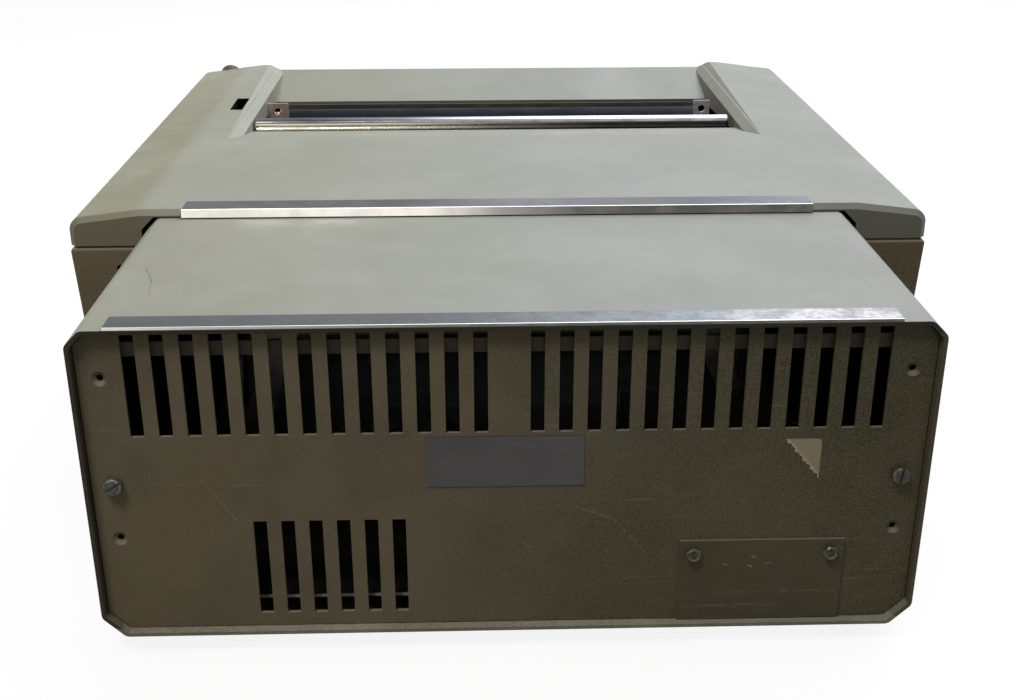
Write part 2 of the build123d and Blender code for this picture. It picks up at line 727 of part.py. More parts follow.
def lower_casing():
    """Lower casing: an open tray with drafted walls, screw posts and a gap for the control box."""
    skirt = DECK_SKIRT + SEAM_GAP
    side = [
        (REAR_DRAFT + FLOOR_CHAMFER, 0),
        (REAR_DRAFT, FLOOR_CHAMFER),
        (0, SEAM),
        (SEAM_BEND, SEAM),
        (seam_reach(DECK_HEIGHT - skirt), DECK_HEIGHT - skirt),
        (FACE_FOOT, DECK_HEIGHT - skirt),
        (NOSE, deck_height(NOSE) - skirt),
        (NOSE - NOSE_DRAFT, FLOOR_CHAMFER),
        (NOSE - NOSE_DRAFT - FLOOR_CHAMFER, 0),
    ]
    wall = COVER_WALL
    hollow = side_prism([
        (REAR_DRAFT + wall, wall),
        (wall, SEAM),
        (wall, TOP),
        (NOSE - wall, TOP),
        (NOSE - wall, deck_height(NOSE) - skirt),
        (NOSE - NOSE_DRAFT - wall, wall),
    ], -BODY_WIDTH, BODY_WIDTH) & tray_bar(wall)
    outer = side_prism(side, -BODY_WIDTH, BODY_WIDTH) & tray_bar(0)
    rim = [
        e for e in outer.edges()
        if abs(e.center().Z - level(SEAM)) < 0.01
        and (abs(e.center().Y - main_y(0)) < 0.01 or abs(e.center().X) > BODY_HALF - 0.01)
    ]
    outer = fillet(rim, RIM_RADIUS)
    shell = outer
    shell = shell - hollow + locating_lip()
    for x, reach, top in casing_posts():
        shell = shell + (post(x, reach, 0, top) & (outer + post(x, reach, wall, top)))
    for x, reach, top in casing_posts():
        shell = shell - post(x, reach, -wall, top - POST_SEAT, POST_BORE_RADIUS)
        shell = shell - post(x, reach, 0, top, POST_SCREW_RADIUS + POST_SCREW_CLEARANCE)
    shell = shell - box_cutout()
    for side in (-1, 1):
        height = SEAM - REAR_HOLE_BELOW_SEAM
        shell = shell - rod_y(side * REAR_HOLE_X, height, REAR_HOLE_RADIUS, main_y(2 * wall), main_y(-wall))
    for x, y in main_foot_places():
        shell = shell - rod_z(x, y, FOOT_SCREW_RADIUS, -wall, 2 * wall)
    return shell


def casing_screws():
    """Screws up through the lower posts into the upper mouldings."""
    screws = []
    for x, reach, top in casing_posts():
        seat = top - POST_SEAT
        head = post(x, reach, seat - POST_SCREW_HEAD, seat, POST_SCREW_HEAD_RADIUS)
        half = SCREW_SLOT_WIDTH / 2
        slot = block((x - POST_RADIUS, x + POST_RADIUS), (reach - half, reach + half),
                     (seat - POST_SCREW_HEAD, seat - POST_SCREW_HEAD + SCREW_SLOT_DEPTH))
        screws.append(head - slot + post(x, reach, seat, top + POST_THREAD, POST_SCREW_RADIUS))
    return screws


def keyboard_surround():
    """Deck moulding round the keys, with its skirt."""
    rear = seam_reach(DECK_HEIGHT) + SEAM_GAP
    rear_low = seam_reach(DECK_HEIGHT - DECK_SKIRT) + SEAM_GAP
    outer = side_prism([
        (rear, DECK_HEIGHT),
        (FACE_FOOT, DECK_HEIGHT),
        (NOSE, deck_height(NOSE), NOSE_RADIUS),
        (NOSE, deck_height(NOSE) - DECK_SKIRT),
        (FACE_FOOT, DECK_HEIGHT - DECK_SKIRT),
        (rear_low, DECK_HEIGHT - DECK_SKIRT),
    ], -BODY_HALF, BODY_HALF) & casing_bar(0)
    wall = COVER_WALL
    low = deck_height(NOSE) - 2 * DECK_SKIRT
    hollow = side_prism([
        (rear - 2 * wall, DECK_HEIGHT - wall),
        (FACE_FOOT, DECK_HEIGHT - wall),
        (NOSE - wall, deck_height(NOSE - wall) - wall, 1),
        (NOSE - wall, low),
        (rear - 2 * wall, low),
    ], -BODY_HALF, BODY_HALF) & casing_bar(wall)
    shell = outer - hollow
    for x, reach, top in casing_posts():
        if top != SEAM:
            shell = shell + (post(x, reach, top, DECK_HEIGHT) & outer)
            shell = shell - post(x, reach, top - POST_THREAD, top + POST_THREAD, POST_SCREW_RADIUS)
    through = (-DECK_SKIRT, DECK_SKIRT)
    shell = shell - in_deck((WELL_LEFT, WELL_RIGHT), (WELL_REAR, WELL_FRONT), through)
    pocket = BUTTON_SIZE / 2 + KEY_CLEARANCE
    stem = KEY_STEM / 2 + KEY_CLEARANCE
    for index in range(len(BUTTONS)):
        shell = shell + button_bar(index, pocket + BUTTON_SLEEVE, -BUTTON_POCKET - BUTTON_SLEEVE, -wall / 2)
        shell = shell - button_bar(index, pocket, -BUTTON_POCKET, DECK_SKIRT)
        shell = shell - button_bar(index, stem, -2 * BUTTON_POCKET, 0)
    return shell


def button_bar(index, half, low, high):
    """Square bar through the deck at a push button's place."""
    x = BUTTON_X + index * BUTTON_PITCH
    return in_deck((x - half, x + half), (BUTTON_BACK - half, BUTTON_BACK + half), (low, high))


def box_shell():
    """Control box shell: top, sides and floor in one wrap with chamfered corners."""
    y0, y1 = box_y(BOX_DEPTH + BOX_OVERLAP), box_y(0)
    outer_points = [p + (BOX_EDGE_RADIUS,) for p in box_section(0)]
    inner_points = [p + (BOX_EDGE_RADIUS - BOX_WALL,) for p in box_section(-BOX_WALL)]
    inside = front_prism(inner_points, y0, y1)
    above_floor = block((-BOX_HALF, BOX_HALF), (-1, BOX_DEPTH + BOX_OVERLAP + 1), (BOX_FLOOR, BOX_HEIGHT), box_y)
    rim_pocket = block((-BOX_HALF, BOX_HALF), (-1, RIM_POCKET_DEPTH), (0, BOX_HEIGHT), box_y)
    shell = front_prism(outer_points, y0, y1) - (inside & above_floor) - (inside & rim_pocket)
    for x, y in box_foot_places():
        shell = shell - rod_z(x, y, FOOT_SCREW_RADIUS, -BOX_FLOOR, 2 * BOX_FLOOR)
    return shell


def vents(first_x, count, low, high, direction):
    """Row of upright ventilation slots cut through the rear panel."""
    slots = []
    for index in range(count):
        near = first_x + direction * index * VENT_PITCH
        xs = (near, near + direction * VENT_WIDTH)
        slots.append(block(xs, (PANEL_RECESS - PANEL_THICKNESS, PANEL_FRONT + PANEL_THICKNESS), (low, high), box_y))
    return slots


def panel_top():
    return BOX_HEIGHT - BOX_WALL - PANEL_GAP


def panel_fixings():
    """X and height of the two screws and of the four spare holes in the rear panel."""
    screws = [(side * FIXING_X, PANEL_SCREW_HEIGHT) for side in (-1, 1)]
    spares = [(side * SPARE_X, h) for side in (-1, 1) for h in (SPARE_HOLE_TOP_HEIGHT, SPARE_HOLE_LOW_HEIGHT)]
    return screws, spares


def blank_centre():
    return PANEL_GAP + BOX_WALL + BLANK_HEIGHT / 2


def blank_screws():
    height = blank_centre() + BLANK_HEIGHT / 2 - BLANK_SCREW_DROP
    return [(BLANK_X + side * BLANK_SCREW_SPACING / 2, height) for side in (-1, 1)]


def rear_panel():
    """Recessed rear panel with two bands of vents, fixing holes and a covered cable opening."""
    inset = -(BOX_WALL + PANEL_GAP)
    panel = front_prism(box_section(inset), box_y(PANEL_FRONT), box_y(PANEL_RECESS))
    high = panel_top() - UPPER_VENT_RIM
    cuts = vents(VENT_MIDDLE_HALF, VENT_COUNT, high - VENT_HEIGHT, high, 1)
    cuts += vents(-VENT_MIDDLE_HALF, VENT_COUNT, high - VENT_HEIGHT, high, -1)
    cuts += vents(LOWER_VENT_X, LOWER_VENT_COUNT, LOWER_VENT_HEIGHT, LOWER_VENT_HEIGHT + VENT_HEIGHT, 1)
    for cut in cuts:
        panel = panel - cut
    y0, y1 = box_y(PANEL_FRONT + PANEL_THICKNESS), box_y(0)
    screws, spares = panel_fixings()
    for x, height in screws:
        panel = panel - rod_y(x, height, PANEL_SCREW_RADIUS, y0, y1)
    for x, height in spares:
        panel = panel - rod_y(x, height, SPARE_HOLE_RADIUS, y0, y1)
        dimple = Cone(SPARE_HOLE_RADIUS, SPARE_DIMPLE_RADIUS, SPARE_DIMPLE_DEPTH)
        place = Pos(x, box_y(PANEL_RECESS + SPARE_DIMPLE_DEPTH / 2), level(height)) * Rot(-90, 0, 0)
        panel = panel - place * dimple
    for x, height in blank_screws():
        panel = panel - rod_y(x, height, BLANK_SCREW_RADIUS, y0, y1)
    half = CONNECTOR_WIDTH / 2
    middle = blank_centre() - BLANK_SCREW_DROP / 2
    window = block((BLANK_X - half, BLANK_X + half), (0, PANEL_FRONT + PANEL_THICKNESS),
                   (middle - CONNECTOR_HEIGHT / 2, middle + CONNECTOR_HEIGHT / 2), box_y)
    return panel - window


def panel_brackets():
    """Angle brackets inside the box that the rear panel is screwed to."""
    brackets = []
    screws, spares = panel_fixings()
    wall_x = BOX_HALF - BOX_WALL
    low = min(height for x, height in spares) - BRACKET_WIDTH / 2
    high = BRACKET_TOP
    for side in (-1, 1):
        leg = block((side * (wall_x - BRACKET_WIDTH), side * wall_x),
                    (PANEL_FRONT, PANEL_FRONT + BRACKET_THICKNESS), (low, high), box_y)
        flange = block((side * (wall_x - BRACKET_THICKNESS), side * wall_x),
                       (PANEL_FRONT, PANEL_FRONT + BRACKET_LEG), (low, high), box_y)
        bracket = leg + flange
        for x, height in screws + spares:
            radius = PANEL_SCREW_RADIUS if (x, height) in screws else SPARE_HOLE_RADIUS
            if x * side > 0:
                bracket = bracket - rod_y(x, height, radius, box_y(BRACKET_LEG), box_y(PANEL_RECESS))
        brackets.append(bracket)
    return brackets


def panel_screws():
    """Slotted screws that hold the rear panel."""
    screws = []
    for x, height in panel_fixings()[0]:
        rear = box_y(PANEL_RECESS - PANEL_SCREW_HEAD)
        head = rod_y(x, height, PANEL_SCREW_HEAD_RADIUS, box_y(PANEL_RECESS), rear)
        half = SCREW_SLOT_WIDTH / 2
        slot = cuboid((x - half, x + half), (rear - SCREW_SLOT_DEPTH, rear),
                      (level(height - KNOB_RADIUS), level(height + KNOB_RADIUS)))
        shank = rod_y(x, height, PANEL_SCREW_RADIUS, box_y(PANEL_RECESS + PANEL_SCREW_LENGTH), box_y(PANEL_RECESS))
        screws.append(head - slot + shank)
    return screws


def blanking_plate():
    """Plate that closes the cable opening."""
    half = BLANK_WIDTH / 2
    low = blank_centre() - BLANK_HEIGHT / 2
    plate = block((BLANK_X - half, BLANK_X + half), (PANEL_RECESS - BLANK_THICKNESS, PANEL_RECESS),
                  (low, low + BLANK_HEIGHT), box_y)
    for x, height in blank_screws():
        plate = plate - rod_y(x, height, BLANK_SCREW_RADIUS, box_y(PANEL_RECESS), box_y(0))
    return plate


def blanking_screws():
    """Hexagon-head screws through the blanking plate and panel."""
    screws = []
    for x, height in blank_screws():
        seat = box_y(PANEL_RECESS - BLANK_THICKNESS)
        hexagon = RegularPolygon(HEX_ACROSS_FLATS / 2, 6, major_radius=False)
        head = Pos(x, seat, level(height)) * Rot(-90, 0, 0) * extrude(hexagon, amount=HEX_HEAD)
        shank = rod_y(x, height, BLANK_SCREW_RADIUS, box_y(PANEL_FRONT + PANEL_THICKNESS), seat)
        screws.append(head + shank)
    return screws


def name_plate():
    """Bare metal plate on the rear panel."""
    half = PLATE_WIDTH / 2
    return block((PLATE_X - half, PLATE_X + half), (PANEL_RECESS - PLATE_THICKNESS, PANEL_RECESS),
                 (PLATE_BASE_HEIGHT, PLATE_BASE_HEIGHT + PLATE_HEIGHT), box_y)


def box_trim():
    half = BOX_TRIM_LENGTH / 2
    return block((BOX_TRIM_X - half, BOX_TRIM_X + half), (0, BOX_TRIM_WIDTH), (BOX_HEIGHT, BOX_HEIGHT + BOX_TRIM_THICKNESS), box_y)


def cover_trim():
    """Angle strip over the main cover's rear edge."""
    half = COVER_TRIM_LENGTH / 2
    top = TOP + TRIM_THICKNESS
    edge = REAR_EDGE_CHAMFER
    return side_prism([
        (-TRIM_THICKNESS, top - COVER_TRIM_LIP),
        (-TRIM_THICKNESS, top, COVER_TRIM_EDGE),
        (COVER_TRIM_WIDTH, top),
        (COVER_TRIM_WIDTH, TOP),
        (edge, TOP),
        (0, TOP - edge),
        (0, top - COVER_TRIM_LIP),
    ], COVER_TRIM_X - half, COVER_TRIM_X + half)


def main_foot_places():
    x = BODY_HALF - SIDE_DRAFT - FOOT_INSET_X
    reaches = (REAR_FOOT_REACH, NOSE - FRONT_FOOT_INSET)
    return [(side * x, main_y(reach)) for side in (-1, 1) for reach in reaches]


def box_foot_places():
    x = BOX_HALF - FOOT_INSET_X
    return [(side * x, box_y(BOX_FOOT_BACK)) for side in (-1, 1)]


def feet():
    """Rubber feet, each with a recess for its screw."""
    solids = []
    for x, y in main_foot_places() + box_foot_places():
        foot = Pos(x, y, FOOT_HEIGHT / 2) * Cone(FOOT_RADIUS - FOOT_TAPER, FOOT_RADIUS, FOOT_HEIGHT)
        recess = rod_z(x, y, 2 * FOOT_SCREW_RADIUS, -FOOT_HEIGHT, -FOOT_SOLE)
        solids.append(foot - recess - rod_z(x, y, FOOT_SCREW_RADIUS, -FOOT_SOLE, 0))
    return solids


def foot_screws():
    """Screws through the feet into the casing floors."""
    solids = []
    for x, y in main_foot_places() + box_foot_places():
        head = rod_z(x, y, FOOT_SCREW_HEAD_RADIUS, -FOOT_SOLE - FOOT_SCREW_HEAD, -FOOT_SOLE)
        solids.append(head + rod_z(x, y, FOOT_SCREW_RADIUS, -FOOT_SOLE, COVER_WALL))
    return solids


def rail_span():
    """Y of the chassis rails' rear and front ends."""
    return box_y(RAIL_REAR_BACK), main_y(SIDE_PLATE_REAR + SIDE_PLATE_LENGTH + RAIL_FRONT_MARGIN)


def rail(side):
    """Channel rail, open below, that joins the control box to the main casing."""
    rear, front = rail_span()
    centre = side * SIDE_X
    xs = (centre - RAIL_WIDTH / 2, centre + RAIL_WIDTH / 2)
    body = cuboid(xs, (front, rear), (level(COVER_WALL), level(RAIL_TOP)))
    xs = (xs[0] + RAIL_WALL, xs[1] - RAIL_WALL)
    return body - cuboid(xs, (front, rear), (level(COVER_WALL), level(RAIL_TOP - RAIL_WALL)))


def cross_members():
    """Flat ties between the rails."""
    inner = SIDE_X - RAIL_WIDTH / 2
    ties = []
    for reach in CROSS_REACHES:
        ends = (reach - CROSS_WIDTH / 2, reach + CROSS_WIDTH / 2)
        tie = block((-inner, inner), ends, (COVER_WALL, RAIL_TOP))
        ends = (ends[0] + RAIL_WALL, ends[1] - RAIL_WALL)
        ties.append(tie - block((-inner, inner), ends, (COVER_WALL, RAIL_TOP - RAIL_WALL)))
    return ties


def nip_axis():
    """Reach and height of the pressure rollers' axis, behind and below the platen."""
    distance = PLATEN_RADIUS + NIP_ROLLER_RADIUS + NIP_GAP
    angle = radians(NIP_ANGLE)
    return PLATEN_REACH + distance * cos(angle), PLATEN_HEIGHT + distance * sin(angle)


def side_plate(side):
    """Mechanism side frame with its foot flange and bearing holes."""
    front = SIDE_PLATE_REAR + SIDE_PLATE_LENGTH
    shoulder = PLATEN_REACH + SIDE_PLATE_SHOULDER
    xs = (SIDE_X, SIDE_OUT_X) if side > 0 else (-SIDE_OUT_X, -SIDE_X)
    plate = side_prism([
        (SIDE_PLATE_REAR, RAIL_TOP),
        (front, RAIL_TOP),
        (front, SHELF_HEIGHT),
        (shoulder, SHELF_HEIGHT, SIDE_PLATE_CORNER),
        (shoulder, PLATE_TOP, SIDE_PLATE_CORNER),
        (ROD_REACH + STRIP_BEHIND_SLOT, PLATE_TOP),
        (ROD_REACH + STRIP_BEHIND_SLOT, STRIP_FLOOR),
        (SIDE_PLATE_REAR, STRIP_FLOOR),
    ], xs[0], xs[1])
    foot_x = (side * SIDE_X, side * (SIDE_X - SIDE_PLATE_FOOT))
    plate = plate + block(foot_x, (SIDE_PLATE_REAR, front), (RAIL_TOP, RAIL_TOP + SIDE_PLATE_THICKNESS))
    x0, x1 = sorted((side * (SIDE_X - 1), side * (SIDE_OUT_X + 1)))
    plate = plate - rod_x(PLATEN_REACH, PLATEN_HEIGHT, BUSH_RADIUS, x0, x1)
    for height in (UPPER_ROD_HEIGHT, LOWER_ROD_HEIGHT):
        plate = plate - rod_x(ROD_LINE, height, CARRIAGE_ROD_RADIUS, x0, x1)
    reach, height = nip_axis()
    return plate - rod_x(reach, height, NIP_SHAFT_RADIUS + RUNNING_CLEARANCE, x0, x1)


def platen_bushes():
    """Flanged bearing bushes in the side plates."""
    solids = []
    for side in (-1, 1):
        flange = (side * (SIDE_X - BUSH_FLANGE), side * SIDE_X)
        barrel = (side * SIDE_X, side * SIDE_OUT_X)
        bush = rod_x(PLATEN_REACH, PLATEN_HEIGHT, BUSH_FLANGE_RADIUS, *flange)
        bush = bush + rod_x(PLATEN_REACH, PLATEN_HEIGHT, BUSH_RADIUS, *barrel)
        bore = SHAFT_RADIUS + RUNNING_CLEARANCE
        ends = (side * (SIDE_X - 2 * BUSH_FLANGE), side * (SIDE_OUT_X + BUSH_FLANGE))
        solids.append(bush - rod_x(PLATEN_REACH, PLATEN_HEIGHT, bore, *ends))
    return solids


def platen_core():
    half = PLATEN_LENGTH / 2
    core = rod_x(PLATEN_REACH, PLATEN_HEIGHT, PLATEN_CORE_RADIUS, -half, half)
    return core - rod_x(PLATEN_REACH, PLATEN_HEIGHT, SHAFT_RADIUS, -half, half)


def platen_rubber():
    half = PLATEN_LENGTH / 2
    sleeve = rod_x(PLATEN_REACH, PLATEN_HEIGHT, PLATEN_RADIUS, -half, half)
    return sleeve - rod_x(PLATEN_REACH, PLATEN_HEIGHT, PLATEN_CORE_RADIUS, -half, half)


def platen_shaft():
    left = -SIDE_OUT_X - GEAR_GAP
    return rod_x(PLATEN_REACH, PLATEN_HEIGHT, SHAFT_RADIUS, left, GEAR_X + GEAR_WIDTH)


def spur_gear(reach, height, teeth, bore, first_angle):
    """Straight-toothed gear along X, with the middle of one tooth at first_angle."""
    pitch = 2 * pi / teeth
    root = teeth * GEAR_MODULE / 2 - 1.1 * GEAR_MODULE
    tip = teeth * GEAR_MODULE / 2 + 0.8 * GEAR_MODULE
    corners = ((root, -0.30), (tip, -0.13), (tip, 0.13), (root, 0.30))
    points = []
    for index in range(teeth):
        middle = first_angle + index * pitch
        for radius, share in corners:
            angle = middle + share * pitch
            points.append((GEAR_X, main_y(reach) + radius * cos(angle), level(height) + radius * sin(angle)))
    gear = extrude(make_face(Polyline(*points, close=True)), amount=GEAR_WIDTH, dir=(1, 0, 0))
    return gear - rod_x(reach, height, bore, GEAR_X - 1, GEAR_X + GEAR_WIDTH + 1)


def platen_gear():
    return spur_gear(PLATEN_REACH, PLATEN_HEIGHT, PLATEN_TEETH, SHAFT_RADIUS, -pi / 2)


def feed_pinion():
    return spur_gear(PLATEN_REACH, PINION_HEIGHT, PINION_TEETH, MOTOR_SHAFT_RADIUS, pi / 2 + pi / PINION_TEETH)


def feed_shaft():
    end = FEED_BRACKET_X + FEED_BRACKET_THICKNESS + FEED_MOTOR_LENGTH / 2
    return rod_x(PLATEN_REACH, PINION_HEIGHT, MOTOR_SHAFT_RADIUS, GEAR_X, end)


def feed_motor():
    """Stepping motor that turns the platen, outside its bracket."""
    x0 = FEED_BRACKET_X + FEED_BRACKET_THICKNESS
    body = rod_x(PLATEN_REACH, PINION_HEIGHT, FEED_MOTOR_RADIUS, x0, x0 + FEED_MOTOR_LENGTH)
    bore = MOTOR_SHAFT_RADIUS + RUNNING_CLEARANCE
    return body - rod_x(PLATEN_REACH, PINION_HEIGHT, bore, x0 - 1, x0 + FEED_MOTOR_LENGTH / 2 + 1)


def feed_bracket():
    """Upright plate on the right rail that carries the feed motor."""
    x0, x1 = FEED_BRACKET_X, FEED_BRACKET_X + FEED_BRACKET_THICKNESS
    reaches = (PLATEN_REACH - FEED_BRACKET_HALF, PLATEN_REACH + FEED_BRACKET_HALF)
    top = PINION_HEIGHT + PINION_PITCH_RADIUS
    plate = block((x0, x1), reaches, (RAIL_TOP, top))
    return plate - rod_x(PLATEN_REACH, PINION_HEIGHT, 2 * MOTOR_SHAFT_RADIUS, x0 - 1, x1 + 1)


def nip_shaft():
    reach, height = nip_axis()
    return rod_x(reach, height, NIP_SHAFT_RADIUS, -SIDE_OUT_X, SIDE_OUT_X)


def nip_rollers():
    """Rubber rollers that press the paper to the platen."""
    reach, height = nip_axis()
    solids = []
    for index in range(NIP_COUNT):
        x = (index - (NIP_COUNT - 1) / 2) * NIP_PITCH
        ends = (x - NIP_LENGTH / 2, x + NIP_LENGTH / 2)
        roller = rod_x(reach, height, NIP_ROLLER_RADIUS, *ends)
        solids.append(roller - rod_x(reach, height, NIP_SHAFT_RADIUS, *ends))
    return solids


def line_scale():
    """Narrow plate in front of the platen, above the printing line."""
    reach = PLATEN_REACH + SCALE_AHEAD
    top = TOP - SCALE_DROP
    return block((-SIDE_X, SIDE_X), (reach, reach + SCALE_THICKNESS), (top - SCALE_HEIGHT, top))


def guide_rod():
    """Bright rod that the paper passes over, with rounded ends."""
    half = ROD_LENGTH / 2
    rod = rod_x(ROD_REACH, STRIP_TOP + ROD_RADIUS, ROD_RADIUS, ROD_X - half, ROD_X + half)
    return fillet(rod.edges().filter_by(GeomType.CIRCLE), ROD_RADIUS / 3)


def tear_strip():
    """Bright strip under the rear edge of the slot, which carries the rod."""
    half = ROD_LENGTH / 2
    reaches = (SLOT_REAR - STRIP_BEHIND_SLOT, ROD_REACH + ROD_RADIUS / 2)
    return block((ROD_X - half, ROD_X + half), reaches, (STRIP_FLOOR, STRIP_TOP))


def platen_clip(side, tab_xs):
    """Small folded clip on top of a side plate, with a hole in its tab."""
    reach = PLATEN_REACH - BUSH_FLANGE_RADIUS - CLIP_BEHIND_PLATEN
    top = TOP - CLIP_DROP
    low = PLATE_TOP
    foot_xs = [side * x for x in CLIP_FOOT_X]
    tab = block(tab_xs, (reach, reach + CLIP_THICKNESS), (low, top))
    foot = block(foot_xs, (reach, reach + CLIP_LENGTH), (low, low + CLIP_THICKNESS))
    x, y = sum(tab_xs) / 2, main_y(reach)
    hole = rod_y(x, (low + top) / 2 + CLIP_THICKNESS, CLIP_HOLE_RADIUS, y - 2 * CLIP_THICKNESS, y + CLIP_THICKNESS)
    return tab + foot - hole


def spindle():
    """Rod that carries the paper roll."""
    half = SIDE_X + SPINDLE_END
    return rod_x(SPINDLE_REACH, SPINDLE_HEIGHT, SPINDLE_RADIUS, -half, half)


def spindle_flanges():
    """Discs that centre the paper roll on its spindle."""
    solids = []
    for side in (-1, 1):
        x0 = side * SPINDLE_FLANGE_X
        x1 = side * (SPINDLE_FLANGE_X + SPINDLE_FLANGE_WIDTH)
        hub = rod_x(SPINDLE_REACH, SPINDLE_HEIGHT, SPINDLE_FLANGE_RADIUS / 2, x0 - side * SPINDLE_FLANGE_WIDTH, x1)
        disc = rod_x(SPINDLE_REACH, SPINDLE_HEIGHT, SPINDLE_FLANGE_RADIUS, x0 + side * SPINDLE_FLANGE_WIDTH / 2, x1)
        ends = (side * (SPINDLE_FLANGE_X - 2 * SPINDLE_FLANGE_WIDTH), x1 + side * SPINDLE_FLANGE_WIDTH)
        solids.append(hub + disc - rod_x(SPINDLE_REACH, SPINDLE_HEIGHT, SPINDLE_RADIUS, *ends))
    return solids


def spindle_brackets():
    """Plates on the rails with open notches that the spindle lies in."""
    solids = []
    notch = SPINDLE_RADIUS + RUNNING_CLEARANCE
    top = SPINDLE_HEIGHT + SPINDLE_BRACKET_RISE
    for side in (-1, 1):
        xs = (side * SIDE_X, side * (SIDE_X + SPINDLE_BRACKET_THICKNESS))
        plate = side_prism([
            (SPINDLE_REACH - SPINDLE_BRACKET_HALF, RAIL_TOP),
            (SPINDLE_REACH + SPINDLE_BRACKET_HALF, RAIL_TOP),
            (SPINDLE_REACH + SPINDLE_BRACKET_HALF / 2, top, SPINDLE_BRACKET_CORNER),
            (SPINDLE_REACH - SPINDLE_BRACKET_HALF / 2, top, SPINDLE_BRACKET_CORNER),
        ], min(xs), max(xs))
        plate = plate - rod_x(SPINDLE_REACH, SPINDLE_HEIGHT, notch, min(xs) - 1, max(xs) + 1)
        solids.append(plate - block(xs, (SPINDLE_REACH - notch, SPINDLE_REACH + notch), (SPINDLE_HEIGHT, top)))
    return solids


def carriage_rods():
    return [
        rod_x(ROD_LINE, height, CARRIAGE_ROD_RADIUS, -SIDE_OUT_X, SIDE_OUT_X)
        for height in (UPPER_ROD_HEIGHT, LOWER_ROD_HEIGHT)
    ]


def carriage():
    """Carriage that slides on both rods, with the arm under the type cylinder."""
    half = CARRIAGE_WIDTH / 2
    low = CARRIAGE_TOP - CARRIAGE_HEIGHT
    body = block((-half, half), (CARRIAGE_REAR, CARRIAGE_FRONT), (low, CARRIAGE_TOP))
    body = fillet(body.edges().filter_by(Axis.X), CARRIAGE_EDGE)
    arm_rear = TYPE_REACH - 2 * TYPE_SHAFT_RADIUS
    arm = block((-ARM_WIDTH / 2, ARM_WIDTH / 2), (arm_rear, CARRIAGE_REAR + ARM_THICKNESS),
                (CARRIAGE_TOP - TYPE_SHAFT_DEPTH, CARRIAGE_TOP - ARM_THICKNESS))
    body = body + arm
    bore = CARRIAGE_ROD_RADIUS + RUNNING_CLEARANCE
    for height in (UPPER_ROD_HEIGHT, LOWER_ROD_HEIGHT):
        body = body - rod_x(ROD_LINE, height, bore, -half - 1, half + 1)
    y = main_y(TYPE_REACH)
    return body - rod_z(0, y, TYPE_SHAFT_RADIUS + RUNNING_CLEARANCE, low, CARRIAGE_TOP)


def belt_clamp():
    """Clamp on the carriage that straddles the belt's upper run."""
    half = CARRIAGE_WIDTH / 6
    run = BELT_HEIGHT + BELT_RADIUS
    gap = 2 * BELT_GAP
    front = BELT_FRONT + gap + BELT_THICKNESS
    low = run - gap - BELT_THICKNESS
    high = run + BELT_THICKNESS + gap + BELT_THICKNESS
    body = block((-half, half), (CARRIAGE_FRONT, front), (low, high))
    slot = (run - gap, run + BELT_THICKNESS + gap)
    return body - block((-half, half), (CARRIAGE_FRONT + BELT_GAP, BELT_FRONT + gap), slot)


def type_cylinder():
    """Faceted cylinder that carries the type, on its spindle."""
    base = PLATEN_HEIGHT - TYPE_HEIGHT / 2
    drum = Pos(0, main_y(TYPE_REACH), level(base)) * extrude(
        RegularPolygon(TYPE_RADIUS, TYPE_FACETS), amount=TYPE_HEIGHT)
    grooves = []
    for index in range(1, 4):
        height = base + index * TYPE_HEIGHT / 4
        ring = rod_z(0, main_y(TYPE_REACH), TYPE_RADIUS + 1, height - 0.4, height + 0.4)
        grooves.append(ring - rod_z(0, main_y(TYPE_REACH), TYPE_RADIUS - 1, height - 0.4, height + 0.4))
    for groove in grooves:
        drum = drum - groove
    return drum + rod_z(0, main_y(TYPE_REACH), TYPE_SHAFT_RADIUS, CARRIAGE_TOP - TYPE_SHAFT_DEPTH, base)


def belt_loop(outer, inner, y0, y1):
    """Loop round both belt pulleys, between two radii."""
    def stadium(radius):
        y_middle = (y0 + y1) / 2
        bar = cuboid((-BELT_END_X, BELT_END_X), (y0, y1),
                     (level(BELT_HEIGHT - radius), level(BELT_HEIGHT + radius)))
        for side in (-1, 1):
            bar = bar + Pos(side * BELT_END_X, y_middle, level(BELT_HEIGHT)) * Rot(90, 0, 0) * Cylinder(radius, y1 - y0)
        return bar
    return stadium(outer) - stadium(inner)


def carriage_belt():
    return belt_loop(BELT_RADIUS + BELT_THICKNESS, BELT_RADIUS, main_y(BELT_FRONT), main_y(BELT_REAR))


def belt_pulley(side):
    """Belt pulley on its own short shaft, which runs in the bracket in front of it."""
    x = side * BELT_END_X
    wheel = rod_y(x, BELT_HEIGHT, BELT_RADIUS - BELT_GAP, main_y(BELT_FRONT), main_y(BELT_REAR))
    end = main_y(BELT_FRONT + BELT_GAP + BELT_BRACKET_THICKNESS + BELT_BRACKET_THICKNESS)
    return wheel + rod_y(x, BELT_HEIGHT, PULLEY_SHAFT_RADIUS, end, main_y(BELT_REAR))


def belt_brackets():
    """Plates from the side plates that carry the pulleys' shafts."""
    solids = []
    rear = BELT_FRONT + BELT_GAP
    for side in (-1, 1):
        inner = BELT_END_X - BELT_RADIUS
        plate = block((side * inner, side * SIDE_X), (rear, rear + BELT_BRACKET_THICKNESS),
                      (BELT_HEIGHT - BELT_BRACKET_HALF_HEIGHT, BELT_HEIGHT + BELT_BRACKET_HALF_HEIGHT))
        bore = PULLEY_SHAFT_RADIUS + RUNNING_CLEARANCE
        y0 = main_y(rear + 2 * BELT_BRACKET_THICKNESS)
        solids.append(plate - rod_y(side * BELT_END_X, BELT_HEIGHT, bore, y0, main_y(rear - 1)))
    return solids


